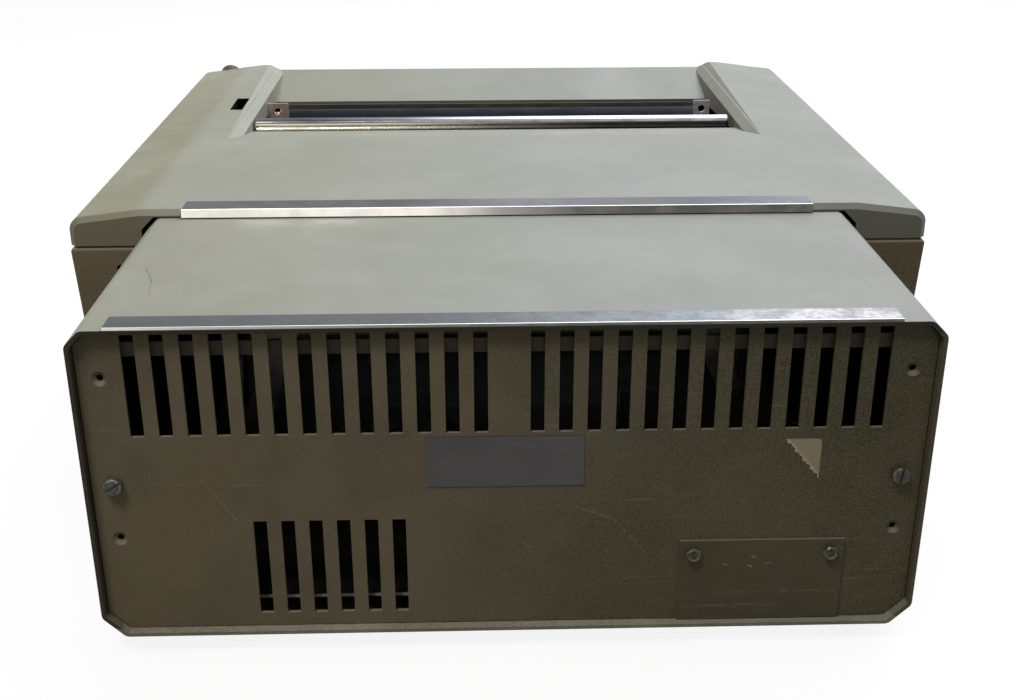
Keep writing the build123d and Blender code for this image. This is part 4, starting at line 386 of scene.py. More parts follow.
def surfaced(tree, shader, place, tone, grain, relief, depth, gloss=None, rough=(0.5, 0.5)):
    """Give the shader its colour and grain, and its roughness by a mask."""
    tree.links.new(tone, shader.inputs["Base Color"])
    if gloss is not None:
        tree.links.new(ranged(tree, gloss, 0.0, 1.0, *rough), shader.inputs["Roughness"])
    bumped(tree, shader, effect(tree, "Grain", Vector=place, Size=grain), relief, depth)


def parts_of(tree, place):
    """X, Y and Z of a place."""
    return add(tree, "ShaderNodeSeparateXYZ", {0: place})


def moulded_cover(name, rear_shade, strokes=(), edge_shade_share=0.80):
    """Grey-green moulded finish: fine texture, painted cool sheen across X, broad paler patches of painted
    sheen, tan patches, painted tan shade along the +X edge, painted shade on faces that look back or aside,
    painted light and shade on the trough's slopes, dust, scuffs, specks and scratches.
    """
    look = bpy.context.scene.casing_look
    material, tree, shader, place = start_material(name, Specular_IOR_Level=0.3)
    axes = parts_of(tree, place)
    # Painted cool sheen: the cover turns cooler and paler towards -X
    tone = mixed(tree, ranged(tree, axes["X"], *COOL_SPAN), look.cover, look.cover_cool_sheen)
    # Painted sheen: broad soft patches laid over paler
    tone = tinted(tree, place, tone, 0.22, look.cover_sheen, "Blotches", Size=6.5, Low=0.44, High=0.68)
    tone = tinted(tree, place, tone, 0.13, look.cover_tan_and_shade, "Blotches", Size=38.0, Low=0.52, High=0.7)
    # Painted shade: the +X side edge laid over in tan
    tan_shade_edge = ranged(tree, axes["X"], *TAN_SHADE_EDGE)
    tone = laid(tree, tone, tan_shade_edge, edge_shade_share, look.cover_tan_and_shade)
    normal = normal_of(tree)
    # Painted shade: faces that look back or aside, and the rear -X corner, laid over in brown that darkens
    # towards -X
    rear_light_shade = ranged(tree, normal["Y"], *LOOKS_BACK)
    corner = times(tree, ranged(tree, normal["Y"], 0.3, 0.5), ranged(tree, axes["X"], *SHADED_CORNER))
    rear_light_shade = number(tree, "MAXIMUM", rear_light_shade, times(tree, corner, 0.8))
    flank = times(tree, ranged(tree, number(tree, "ABSOLUTE", normal["X"]), *LOOKS_ASIDE), 0.7)
    shaded_faces = times(tree, number(tree, "MAXIMUM", rear_light_shade, flank), 0.85)
    soil = mixed(tree, ranged(tree, axes["X"], *SHADE_SPAN), rear_shade, look.rear_shade_dark)
    tone = mixed(tree, shaded_faces, tone, soil)
    # Painted light and shade on the trough's inward slopes: pale on the +X side, brownish on the -X side
    slope = ranged(tree, times(tree, axes["X"], normal["X"]), *SLOPES_INWARDS)
    slope_light_shade = mixed(tree, ranged(tree, axes["X"], 0.01, -0.01), look.slope_lit, look.slope_shaded)
    tone = laid(tree, tone, slope, 0.75, slope_light_shade)
    fleck = effect(tree, "Grain", 1, Vector=place, Size=1100.0)
    tone = laid(tree, tone, fleck, 0.24, [c * 0.72 for c in look.cover])
    tone = tinted(tree, place, tone, 0.75, (0.045, 0.04, 0.03), "Specks", Size=95.0, Radius=0.085, Share=0.05)
    tone = tinted(tree, place, tone, 0.7, look.dust, "Specks", Size=70.0, Radius=0.06, Share=0.06)
    tone = tinted(tree, place, tone, 0.22, look.dust, "Scuffs", Size=260.0, Stretch=0.05, Amount=0.63)
    tone = tinted(tree, place, tone, 0.13, look.dust, "Dust", Size=30.0)
    for first, last, width, shade in strokes:
        tone = tinted(tree, place, tone, 0.8, shade, "Stroke", Start=first, End=last, Width=width)
    gloss = effect(tree, "Blotches", Vector=place, Size=11.0, Low=0.35, High=0.7)
    surfaced(tree, shader, place, tone, 1100.0, 0.16, 0.0004, gloss, rough=(0.56, 0.40))
    return material


def painted_sheet(name, base, shade, strokes=(), rub=0.2, span=(0.10, -0.20), foot=None, head=None):
    """Olive sheet-metal paint: cloudy, with level rubbed lines, specks and scratches, and a second colour
    across X that is painted shade on the panel and the tray; painted highlight on upward faces, painted shade
    on downward ones, painted light on the lower lip and painted shadow under the top rim where asked.
    """
    look = bpy.context.scene.casing_look
    material, tree, shader, place = start_material(name, Specular_IOR_Level=0.12)
    axes = parts_of(tree, place)
    # Base passes to shade across X; on the panel and the tray this is painted shade where the light falls off
    across = ranged(tree, axes["X"], *span)
    tone = mixed(tree, across, base, shade)
    # Painted light: below LIP_TOP the lower lip turns paler
    if foot:
        tone = mixed(tree, ranged(tree, axes["Z"], *LIP_TOP), tone, foot)
    # Painted shadow: above RIM_TOP the rim under the top trim turns dark
    if head:
        tone = mixed(tree, ranged(tree, axes["Z"], *RIM_TOP), tone, head)
    cloud = effect(tree, "Blotches", Vector=place, Size=16.0, Low=0.38, High=0.7)
    tone = laid(tree, tone, cloud, 0.30, [c * 0.72 for c in shade])
    # Painted highlight on upward faces and painted shade on downward faces
    tilt = normal_of(tree)["Z"]
    tone = laid(tree, tone, ranged(tree, tilt, 0.15, 0.5), 0.5, look.scratch_and_highlight)
    tone = laid(tree, tone, ranged(tree, tilt, -0.1, -0.4), 0.6, (0.02, 0.018, 0.012))
    tone = tinted(tree, place, tone, 0.22, [c * f for c, f in zip(base, (1.25, 1.08, 0.95))],
                  "Blotches", Size=7.0, Low=0.45, High=0.65)
    fleck = effect(tree, "Grain", 1, Vector=place, Size=1000.0)
    tone = laid(tree, tone, fleck, 0.42, [c * 1.45 for c in base])
    tone = tinted(tree, place, tone, rub, look.scratch_and_highlight, "Scuffs", Size=300.0, Stretch=0.06, Amount=0.60)
    tone = tinted(tree, place, tone, 0.5, look.scratch_and_highlight, "Specks", Size=110.0, Radius=0.08, Share=0.06)
    for first, last, width, strength in strokes:
        tone = tinted(tree, place, tone, strength, look.scratch_and_highlight, "Stroke", Start=first, End=last, Width=width)
    surfaced(tree, shader, place, tone, 1000.0, 0.12, 0.0004, cloud, rough=(0.50, 0.62))
    return material


def plain_finish(name, base, worn, size=40.0, grain=900.0, relief=0.1, rough=(0.4, 0.6), wear=0.5, dust=0.0,
                 stretch=None, **shader_values):
    """Finish that wears from one colour to another in patches, with grain, and dust on top where asked."""
    look = bpy.context.scene.casing_look
    material, tree, shader, place = start_material(name, **shader_values)
    patch = effect(tree, "Blotches", Vector=place, Size=size, Low=0.42, High=0.68)
    tone = laid(tree, base, patch, wear, worn)
    if stretch:
        tone = tinted(tree, place, tone, 0.55, [min(1, c * 1.5 + 0.02) for c in base],
                      "Scuffs", Size=grain * 0.4, Stretch=stretch, Amount=0.55)
    if dust:
        tone = tinted(tree, place, tone, dust, look.dust, "Dust", Size=90.0)
    fleck = effect(tree, "Grain", 1, Vector=place, Size=grain)
    spread = number(tree, "ADD", times(tree, fleck, 0.3), times(tree, patch, 0.7))
    surfaced(tree, shader, place, tone, grain, relief, 0.0003, spread, rough)
    return material


def banded_finish(name, light, dark, pitch, axis, rough, metal=0.0):
    """Finish with fine even bands across one axis, for laminations, windings, ribs and stacked teeth."""
    material, tree, shader, place = start_material(name, Metallic=metal, Roughness=rough)
    along = parts_of(tree, place)[axis]
    wave = number(tree, "SINE", times(tree, along, 2 * pi / pitch))
    band = ranged(tree, wave, -0.6, 0.6)
    cloud = effect(tree, "Blotches", Vector=place, Size=45.0, Low=0.4, High=0.7)
    tone = mixed(tree, band, dark, light)
    tone = laid(tree, tone, cloud, 0.45, [c * 0.6 for c in dark])
    tree.links.new(tone, shader.inputs["Base Color"])
    bumped(tree, shader, band, 0.5, 0.0003)
    return material


def trim_metal(name, top_reflections, lip_reflections):
    """Bright strip with painted reflections: scuffed blue-grey top and a cream lip, each with its own tones
    from right to left, and a painted highlight line along the lip's edge.
    """
    material, tree, shader, place = start_material(name, Metallic=1.0)
    along = number(tree, "MULTIPLY_ADD", parts_of(tree, place)["X"], -2.4)
    tree.nodes[-1].inputs[2].default_value = 0.5
    scuff = effect(tree, "Scuffs", Vector=place, Size=420.0, Stretch=0.12, Amount=0.47)
    patch = effect(tree, "Blotches", Vector=place, Size=60.0, Low=0.40, High=0.62)
    fine = effect(tree, "Blotches", Vector=place, Size=330.0, Low=0.42, High=0.62)
    tone = graded(tree, along, top_reflections)
    tone = laid(tree, tone, patch, 0.4, (0.085, 0.093, 0.112))
    tone = laid(tree, tone, fine, 0.3, (0.04, 0.042, 0.052))
    tone = laid(tree, tone, scuff, 0.14, (0.50, 0.51, 0.55))
    normal = normal_of(tree)
    lip = laid(tree, graded(tree, along, lip_reflections), patch, 0.2, (0.30, 0.28, 0.23))
    tone = mixed(tree, ranged(tree, normal["Y"], 0.60, 0.85), tone, lip)
    # Painted highlight: a pale line where the lip's edge turns
    line = times(tree, ranged(tree, normal["Y"], 0.10, 0.25), ranged(tree, normal["Y"], 0.85, 0.60))
    tone = mixed(tree, line, tone, (0.93, 0.93, 0.92))
    surfaced(tree, shader, place, tone, 1500.0, 0.08, 0.0002, scuff, rough=(0.30, 0.52))
    return material


def highlit_head(name, ring_highlight, middle):
    """Screw head whose turned edge is painted lighter as a highlight and whose face is darker: dirt, and
    painted shade in the dish of the hexagon heads.
    """
    material, tree, shader, place = start_material(name, Metallic=0.5)
    facing = normal_of(tree)["Y"]
    dirt = effect(tree, "Blotches", Vector=place, Size=420.0, Low=0.42, High=0.62)
    # Painted highlight on the edge; the face that looks back stays darker
    tone = mixed(tree, ranged(tree, facing, 0.90, 0.99), ring_highlight, middle)
    tone = laid(tree, tone, dirt, 0.55, [c * 0.4 for c in middle])
    surfaced(tree, shader, place, tone, 1500.0, 0.08, 0.0002, dirt, rough=(0.35, 0.6))
    return material


def chrome_with_painted_reflections(name):
    """Bright plated bar with painted reflections: pale highlight on top, mottled blue-grey below that, cream
    to dark brown underneath, each changing from right to left.
    """
    material, tree, shader, place = start_material(name, Metallic=1.0)
    along = number(tree, "MULTIPLY_ADD", parts_of(tree, place)["X"], -2.5)
    tree.nodes[-1].inputs[2].default_value = 0.5
    cloud = effect(tree, "Blotches", Vector=place, Size=48.0, Low=0.42, High=0.60)
    up = normal_of(tree)["Z"]
    # Painted reflections: crown, side and belly tones chosen by the normal, changing along X
    crown_reflection = graded(tree, along, [
        (0.0, (0.09, 0.09, 0.09)), (0.10, (0.045, 0.046, 0.048)), (0.31, (0.12, 0.122, 0.13)),
        (0.5, (0.45, 0.46, 0.48)), (0.65, (0.92, 0.92, 0.93)), (1.0, (0.85, 0.85, 0.86))])
    side = graded(tree, along, [
        (0.0, (0.14, 0.135, 0.12)), (0.12, (0.035, 0.035, 0.036)), (0.31, (0.16, 0.16, 0.155)),
        (0.72, (0.28, 0.29, 0.31)), (1.0, (0.42, 0.43, 0.46))])
    belly_reflection = graded(tree, along, [
        (0.0, (0.85, 0.79, 0.66)), (0.3, (0.60, 0.56, 0.47)), (0.5, (0.20, 0.185, 0.15)),
        (0.72, (0.055, 0.05, 0.04)), (1.0, (0.05, 0.045, 0.035))])
    side = laid(tree, side, cloud, 0.5, (0.07, 0.073, 0.09))
    tone = mixed(tree, ranged(tree, up, 0.28, 0.38), belly_reflection, side)
    tone = mixed(tree, ranged(tree, up, 0.66, 0.80), tone, crown_reflection)
    surfaced(tree, shader, place, tone, 1200.0, 0.015, 0.0001, cloud, rough=(0.26, 0.36))
    return material


def torn_sticker(name):
    """Plain buff paper whose torn side shows white fibre."""
    look = bpy.context.scene.small_part_look
    material, tree, shader, place = start_material(name, Roughness=0.8)
    axes = parts_of(tree, place)
    rise = times(tree, number(tree, "SUBTRACT", axes["Z"], STICKER_LOW), STICKER_LEAN)
    line = number(tree, "ADD", number(tree, "SUBTRACT", axes["X"], STICKER_LEFT), times(tree, rise, -1.0))
    ragged = effect(tree, "Blotches", Vector=place, Size=420.0, Low=0.3, High=0.7)
    edge = ranged(tree, number(tree, "ADD", line, times(tree, ragged, 0.0016)), -0.0020, -0.0004)
    soil = effect(tree, "Blotches", Vector=place, Size=170.0, Low=0.45, High=0.75)
    tone = laid(tree, look.sticker, soil, 0.35, (0.33, 0.28, 0.18))
    tone = mixed(tree, edge, tone, look.torn)
    surfaced(tree, shader, place, tone, 1400.0, 0.2, 0.0003)
    return material


def window_glass(name):
    """Lightly smoked pane with a few faint smears."""
    material, tree, shader, place = start_material(
        name, Base_Color=(0.80, 0.84, 0.83, 1), Transmission_Weight=1.0, IOR=1.46, Metallic=0.0)
    smear = effect(tree, "Blotches", Vector=place, Size=7.0, Low=0.3, High=0.9)
    tree.links.new(ranged(tree, smear, 0.0, 1.0, 0.0, 0.05), shader.inputs["Roughness"])
    return material


def lens_plastic(name, base):
    """Translucent push-button lens, darker in random patches."""
    material, tree, shader, place = start_material(
        name, Roughness=0.25, Coat_Weight=0.3, Subsurface_Weight=0.15,
        Subsurface_Radius=(0.004, 0.002, 0.002))
    patch = effect(tree, "Blotches", Vector=place, Size=120.0, Low=0.4, High=0.7)
    tone = laid(tree, base, patch, 0.3, [c * 0.6 for c in base])
    surfaced(tree, shader, place, tone, 500.0, 0.05, 0.0002)
    return material


def only(piece):
    """Deselect everything and make one piece the active one."""
    clear_selection()
    bpy.context.view_layer.objects.active = piece
    piece.select_set(True)


def clear_selection():
    """Go to object mode with nothing selected."""
    if bpy.context.mode != "OBJECT":
        bpy.ops.object.mode_set(mode="OBJECT")
    bpy.ops.object.select_all(action="DESELECT")


def new_piece(name):
    """Name the primitive just added and put its place into its mesh."""
    piece = bpy.context.view_layer.objects.active
    piece.name = name
    only(piece)
    bpy.ops.object.transform_apply(location=True, rotation=True, scale=True)
    return piece


def pick_faces(piece, wanted):
    """Go into edit mode with the faces selected whose centre and normal pass the test."""
    only(piece)
    bpy.ops.object.mode_set(mode="EDIT")
    bpy.ops.mesh.select_mode(type="FACE")
    bpy.ops.mesh.select_all(action="DESELECT")
    bpy.ops.object.mode_set(mode="OBJECT")
    for face in piece.data.polygons:
        face.select = bool(wanted(face.center, face.normal))
    bpy.ops.object.mode_set(mode="EDIT")


def applied(piece, kind, **settings):
    """Add one modifier and apply it."""
    only(piece)
    modifier = piece.modifiers.new(kind.title(), kind)
    for key, value in settings.items():
        setattr(modifier, key, value)
    bpy.ops.object.modifier_apply(modifier=modifier.name)


def rounded(piece, width, segments=2, angle=30):
    applied(piece, "BEVEL", width=width, segments=segments, limit_method="ANGLE", angle_limit=radians(angle),
            use_clamp_overlap=True)


def smoothed(piece, angle=35):
    """Smooth the rounded edges while broad faces stay flat."""
    only(piece)
    bpy.ops.object.shade_smooth_by_angle(angle=radians(angle))
    applied(piece, "WEIGHTED_NORMAL", keep_sharp=True, weight=80)


def cut_by(piece, cutter, operation="DIFFERENCE"):
    """Boolean one piece by another, which is then deleted."""
    applied(piece, "BOOLEAN", operation=operation, object=cutter, solver="EXACT")
    bpy.data.objects.remove(cutter)


def merged_copy(node, name):
    """Copy of a CAD node as one closed mesh with flat faces joined."""
    piece = NODES[node].copy()
    piece.data = piece.data.copy()
    for key in [k for k in piece.keys() if k.startswith("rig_")]:
        del piece[key]
    piece.parent = None
    piece.name = name
    bpy.context.scene.collection.objects.link(piece)
    only(piece)
    bpy.ops.object.mode_set(mode="EDIT")
    bpy.ops.mesh.select_all(action="SELECT")
    bpy.ops.mesh.customdata_custom_splitnormals_clear()
    bpy.ops.mesh.remove_doubles(threshold=0.000005)
    bpy.ops.mesh.dissolve_limited(angle_limit=radians(0.6))
    bpy.ops.object.mode_set(mode="OBJECT")
    return piece


def softened(node, name, width, segments=2, angle=40, smooth=32):
    """Copy of a CAD node with its edges rounded and smoothed."""
    piece = merged_copy(node, name)
    rounded(piece, width, segments, angle)
    smoothed(piece, smooth)
    return piece


def painted_inside_shade(name):
    """Painted shade, near black, on the faces that look into a casing."""
    inside = bpy.context.scene.casing_look.inside
    return plain_finish(name, inside, INSIDE_SHADE_WORN, Specular_IOR_Level=0.05)


def joined(pieces, name):
    """Join pieces into one."""
    clear_selection()
    for piece in pieces:
        piece.select_set(True)
    bpy.context.view_layer.objects.active = pieces[0]
    bpy.ops.object.join()
    pieces[0].name = name
    return pieces[0]


def painted(piece, *materials):
    """Give a piece its materials, with every face on the first one."""
    piece.data.materials.clear()
    for material in materials:
        piece.data.materials.append(material)
    piece.data.polygons.foreach_set("material_index", [0] * len(piece.data.polygons))
    return piece


def second_material(piece, wanted, index=1):
    """Put the faces that pass the test on another of the piece's materials."""
    for face in piece.data.polygons:
        if wanted(face.center, face.normal):
            face.material_index = index


def stands_for(piece, node):
    """The piece rides where its CAD node does and hides it."""
    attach(piece, NODES[node]["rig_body"])
    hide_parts(node)


def finish_node(material, *nodes):
    """Give CAD nodes that keep their shape a better material."""
    for node in nodes:
        for slot in NODES[node].material_slots:
            slot.material = material


def dressed(nodes, name, base, worn, **settings):
    """Give CAD nodes, named in one line, a plain finish."""
    finish_node(plain_finish(name, base, worn, **settings), *nodes.split())


def faces_point(target, centre, normal):
    """Whether a face looks towards a point."""
    return (Vector(target) - centre).dot(normal) > 0


class TELEPRINTER_OT_effects(bpy.types.Operator):
    """Build the node groups that the finishes share"""
    bl_idname = "teleprinter.effects"
    bl_label = "Shared effects"

    def execute(self, context):
        for make in (make_blotches, make_grain, make_specks, make_scuffs, make_stroke, make_dust):
            make()
        return {"FINISHED"}


class TELEPRINTER_OT_cover(bpy.types.Operator):
    """Main cover with soft moulded edges and painted shade inside"""
    bl_idname = "teleprinter.cover"
    bl_label = "Main cover"

    def execute(self, context):
        casing, edges = context.scene.casing_look, context.scene.edge_sizes
        cover = softened("top_cover", "main_cover", edges.cover, 3, 24)
        painted(cover, moulded_cover("cover finish", casing.cover_rear_shade), painted_inside_shade("cover inside"))
        # Faces that look into the cover take the painted shade
        second_material(cover, lambda c, n: faces_point((0, 0, 0.10), c, n) and n.z < 0.3
                        and not (c.z > TROUGH_FLOOR and abs(c.x) < TROUGH_HALF
                                 and TROUGH_SPAN[0] < c.y < TROUGH_SPAN[1]))
        stands_for(cover, "top_cover")
        return {"FINISHED"}


class TELEPRINTER_OT_lower_casing(bpy.types.Operator):
    """Lower casing with its rim rounded"""
    bl_idname = "teleprinter.lower_casing"
    bl_label = "Lower casing"

    def execute(self, context):
        casing, edges = context.scene.casing_look, context.scene.edge_sizes
        tray = softened("lower_casing", "lower_tray", edges.box)
        # The tray darkens towards -X: painted shade
        finish = painted_sheet("casing finish", casing.casing, [c * 0.6 for c in casing.casing], rub=0.12)
        # Painted shade inside the tray, darker still
        inside = plain_finish("casing inside", [c * 0.3 for c in casing.inside], (0.002, 0.002, 0.002),
                              Specular_IOR_Level=0.02)
        painted(tray, finish, inside)
        second_material(tray, lambda c, n: faces_point((0, 0, 0.20), c, n) and c.z < TRAY_RIM)
        stands_for(tray, "lower_casing")
        return {"FINISHED"}


class TELEPRINTER_OT_keyboard_surround(bpy.types.Operator):
    """Deck moulding round the keys"""
    bl_idname = "teleprinter.keyboard_surround"
    bl_label = "Keyboard surround"

    def execute(self, context):
        casing, edges = context.scene.casing_look, context.scene.edge_sizes
        deck = softened("keyboard_surround", "key_deck", edges.cover, 3, 24)
        painted(deck, moulded_cover("deck finish", casing.cover_rear_shade, edge_shade_share=0.15))
        stands_for(deck, "keyboard_surround")
        return {"FINISHED"}


class TELEPRINTER_OT_control_box(bpy.types.Operator):
    """Shell of the control box, with painted shade inside"""
    bl_idname = "teleprinter.control_box"
    bl_label = "Control box"

    def execute(self, context):
        casing, edges = context.scene.casing_look, context.scene.edge_sizes
        shell = merged_copy("box_shell", "control_box")
        rounded(shell, edges.box)
        pick_faces(shell, lambda c, n: True)
        bpy.ops.mesh.bisect(plane_co=(0, BOX_PARTING, 0), plane_no=(0, 1, 0))
        bpy.ops.object.mode_set(mode="OBJECT")
        smoothed(shell, 32)
        mark = (0.10, 0.10, 0.085)
        points = [(0.2054, 0.3193, 0.197), (0.1977, 0.3402, 0.197), (0.1939, 0.3638, 0.197)]
        strokes = [(points[0], points[1], 0.0007, mark), (points[1], points[2], 0.0007, mark)]
        # The box's rear and side faces take the rim's brown as their painted shade
        painted(shell, moulded_cover("box finish", casing.rim, strokes),
                painted_inside_shade("box inside"),
                plain_finish("box floor", (0.14, 0.115, 0.07), (0.08, 0.065, 0.04), size=20.0),
                # Rim paint with painted light on the lower lip and painted shadow under the top trim
                painted_sheet("rim paint", casing.rim_dark, casing.rim, rub=0.2, span=(0.226, 0.05),
                              foot=casing.lip, head=[c * 0.45 for c in casing.rim_dark]))
        second_material(shell, lambda c, n: c.y > BOX_PARTING
                        and (n.y > 0.35 or faces_point((0, c.y, 0.10), c, n)), 3)
        second_material(shell, lambda c, n: c.y < BOX_PARTING
                        and faces_point((0, 0.31, 0.10), c, n) and abs(n.y) < 0.5)
        second_material(shell, lambda c, n: c.y < BOX_PARTING and c.z < 0.02 and n.z > 0.5, 2)
        stands_for(shell, "box_shell")
        return {"FINISHED"}


class TELEPRINTER_OT_rear_panel(bpy.types.Operator):
    """Vented rear panel with its scratches"""
    bl_idname = "teleprinter.rear_panel"
    bl_label = "Rear panel"

    def execute(self, context):
        casing, edges = context.scene.casing_look, context.scene.edge_sizes
        panel = softened("rear_panel", "vented_panel", edges.panel, 1, smooth=20)
        y = REAR_Y
        strokes = [
            ((-0.0369, y, 0.0880), (-0.0567, y, 0.0805), 0.0009, 0.45),
            ((-0.0567, y, 0.0805), (-0.0699, y, 0.0657), 0.0008, 0.35),
            ((-0.0699, y, 0.0657), (-0.0782, y, 0.0541), 0.0007, 0.25),
            ((-0.0063, y, 0.0675), (-0.0149, y, 0.0592), 0.0006, 0.35),
            ((0.1659, y, 0.1088), (0.1481, y, 0.0825), 0.0008, 0.30),
        ]
        painted(panel, painted_sheet("panel paint", casing.panel, casing.panel_falloff_shade, strokes),
                painted_inside_shade("panel back"))
        second_material(panel, lambda c, n: n.y < -0.5)
        stands_for(panel, "rear_panel")
        return {"FINISHED"}


class TELEPRINTER_OT_sticker_remnant(bpy.types.Operator):
    """Torn corner of a sticker left on the panel, plain"""
    bl_idname = "teleprinter.sticker_remnant"
    bl_label = "Sticker remnant"

    def execute(self, context):
        clear_selection()
        left, right, low, high = STICKER_LEFT, STICKER_RIGHT, STICKER_LOW, STICKER_HIGH
        middle = ((left + right) / 2, REAR_Y + 0.00004, (low + high) / 2)
        bpy.ops.mesh.primitive_plane_add(size=1, location=middle, rotation=(-pi / 2, 0, 0))
        bpy.context.object.scale = (right - left, high - low, 1)
        scrap = new_piece("sticker_scrap")
        bpy.ops.object.mode_set(mode="EDIT")
        bpy.ops.mesh.select_all(action="SELECT")
        across = Vector((high - low, 0, left - right)).normalized()
        bpy.ops.mesh.bisect(plane_co=(left, REAR_Y, low), plane_no=across, clear_outer=True)
        bpy.ops.mesh.select_all(action="DESELECT")
        bpy.ops.object.mode_set(mode="OBJECT")
        mesh = scrap.data
        for vertex in mesh.vertices:
            vertex.select = abs(vertex.co.x - left) < TOLERANCE and abs(vertex.co.z - high) < TOLERANCE
        bpy.ops.object.mode_set(mode="EDIT")
        bpy.ops.mesh.bevel(offset=0.0022, segments=5, affect="VERTICES")
        bpy.ops.mesh.select_mode(type="EDGE")
        bpy.ops.mesh.select_all(action="DESELECT")
        bpy.ops.object.mode_set(mode="OBJECT")
        start = Vector((left, REAR_Y, low))
        for edge in mesh.edges:
            ends = [mesh.vertices[i].co - start for i in edge.vertices]
            edge.select = all(abs(e.dot(across)) < TOLERANCE for e in ends)
        bpy.ops.object.mode_set(mode="EDIT")
        bpy.ops.mesh.subdivide(number_cuts=STICKER_JAGS)
        bpy.ops.object.mode_set(mode="OBJECT")
        jag = 0
        for vertex in sorted(mesh.vertices, key=lambda v: v.co.z):
            torn = abs((vertex.co - start).dot(across)) < TOLERANCE
            if torn and low + 1e-4 < vertex.co.z < high - 1e-4:
                jag += 1
                step = 0.00055 * sin(jag * 2.1) + 0.00045 * sin(jag * 5.3 + 1.0) - 0.0004
                vertex.co += across * step
        bpy.ops.object.mode_set(mode="EDIT")
        bpy.ops.mesh.select_all(action="SELECT")
        bpy.ops.mesh.normals_make_consistent(inside=False)
        bpy.ops.object.mode_set(mode="OBJECT")
        applied(scrap, "SOLIDIFY", thickness=0.00014, offset=0)
        painted(scrap, torn_sticker("torn sticker"))
        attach(scrap, "machine")
        return {"FINISHED"}


class TELEPRINTER_OT_blanking_plate(bpy.types.Operator):
    """Plate over the cable opening"""
    bl_idname = "teleprinter.blanking_plate"
    bl_label = "Blanking plate"

    def execute(self, context):
        casing, edges = context.scene.casing_look, context.scene.edge_sizes
        plate = softened("blanking_plate", "cable_plate", edges.panel, 1)
        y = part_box("blanking_plate")[1][1]
        strokes = [((-0.1220, y, 0.0505), (-0.1165, y, 0.0512), 0.0007, 0.6),
                   ((-0.1345, y, 0.0562), (-0.1368, y, 0.0550), 0.0008, 0.7),
                   ((-0.1330, y, 0.0500), (-0.1352, y, 0.0490), 0.0008, 0.7),
                   ((-0.1425, y, 0.0510), (-0.1458, y, 0.0513), 0.0008, 0.6),
                   ((-0.0960, y, 0.0235), (-0.1380, y, 0.0245), 0.0007, 0.35),
                   ((-0.1500, y, 0.0335), (-0.1830, y, 0.0325), 0.0006, 0.35)]
        shade = [c * tint for c, tint in zip(casing.panel_falloff_shade, (1.85, 1.68, 1.90))]
        painted(plate, painted_sheet("plate paint", shade, shade, strokes, 0.25))
        stands_for(plate, "blanking_plate")
        return {"FINISHED"}


class TELEPRINTER_OT_screws(bpy.types.Operator):
    """Slotted and hexagon-head screws of the rear panel"""
    bl_idname = "teleprinter.screws"
    bl_label = "Panel screws"

    def execute(self, context):
        sizes = context.scene.screw_sizes
        zinc = highlit_head("zinc screw", (0.19, 0.185, 0.155), (0.068, 0.064, 0.052))
        dirty = highlit_head("dirty screw", (0.12, 0.112, 0.082), (0.040, 0.037, 0.026))
        heads = []
        low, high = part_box("panel_screws")
        for side in (1, -1):
            clear_selection()
            bpy.ops.mesh.primitive_cylinder_add(vertices=40, radius=SLOTTED_RADIUS, depth=SLOTTED_DEPTH,
                                                location=(0, SLOTTED_DEPTH / 2, 0), rotation=(pi / 2, 0, 0))
            head = new_piece(f"slotted_head_{side}")
            rounded(head, sizes.pan_round, 5, 60)
            bpy.ops.mesh.primitive_cube_add(size=1, location=(0, SLOTTED_DEPTH, 0),
                                            scale=(sizes.slot_width, 2 * sizes.slot_depth, 0.02))
            cut_by(head, new_piece("slot_tool"))
            rounded(head, 0.00012, 1, 50)
            smoothed(head, 40)
            centre = Vector((side * (high[0] - SLOTTED_RADIUS), REAR_Y, (low[2] + high[2]) / 2))
            head.data.transform(Matrix.Translation(centre) @ Matrix.Rotation(SLOT_TURNS[side], 4, "Y"))
            painted(head, zinc if side > 0 else dirty)
            heads.append(head)
        stands_for(joined(heads, "slotted_screws"), "panel_screws")
        bolt = highlit_head("soiled bolt", (0.112, 0.108, 0.066), (0.027, 0.025, 0.014))
        low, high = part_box("blanking_screws")
        corner = HEXAGON_ACROSS / 2 / cos(pi / 6)
        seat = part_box("blanking_plate")[1][1]
        heads = []
        for place, turn in zip((low[0] + corner, high[0] - corner), HEXAGON_TURNS):
            clear_selection()
            bpy.ops.mesh.primitive_cylinder_add(vertices=6, radius=corner, depth=HEXAGON_DEPTH,
                                                location=(0, HEXAGON_DEPTH / 2, 0), rotation=(pi / 2, 0, 0))
            head = new_piece("hexagon_head")
            bpy.ops.mesh.primitive_cone_add(vertices=48, radius1=0.0072, radius2=0.0034, depth=0.0044,
                                            location=(0, 0.0014, 0), rotation=(-pi / 2, 0, 0))
            cut_by(head, new_piece("chamfer_tool"), "INTERSECT")
            pick_faces(head, lambda c, n: n.y > 0.9)
            bpy.ops.mesh.inset(thickness=0.0006)
            bpy.ops.transform.translate(value=(0, -sizes.dish, 0))
            bpy.ops.mesh.inset(thickness=0.0008)
            bpy.ops.transform.translate(value=(0, -sizes.dish / 2, 0))
            bpy.ops.object.mode_set(mode="OBJECT")
            smoothed(head, 30)
            height = (low[2] + high[2]) / 2
            head.data.transform(Matrix.Translation((place, seat, height)) @ Matrix.Rotation(turn, 4, "Y"))
            painted(head, bolt)
            heads.append(head)
        stands_for(joined(heads, "hexagon_screws"), "blanking_screws")
        return {"FINISHED"}


class TELEPRINTER_OT_name_plate(bpy.types.Operator):
    """Bare plate on the rear panel, with rounded corners"""
    bl_idname = "teleprinter.name_plate"
    bl_label = "Bare plate"

    def execute(self, context):
        small = context.scene.small_part_look
        plate = softened("name_plate", "bare_plate", 0.00015)
        painted(plate, plain_finish("bare plate", small.plate, [c * 0.72 for c in small.plate], size=20.0,
                                    grain=1300.0, rough=(0.36, 0.5), wear=0.6, stretch=0.08, Metallic=0.35))
        stands_for(plate, "name_plate")
        return {"FINISHED"}


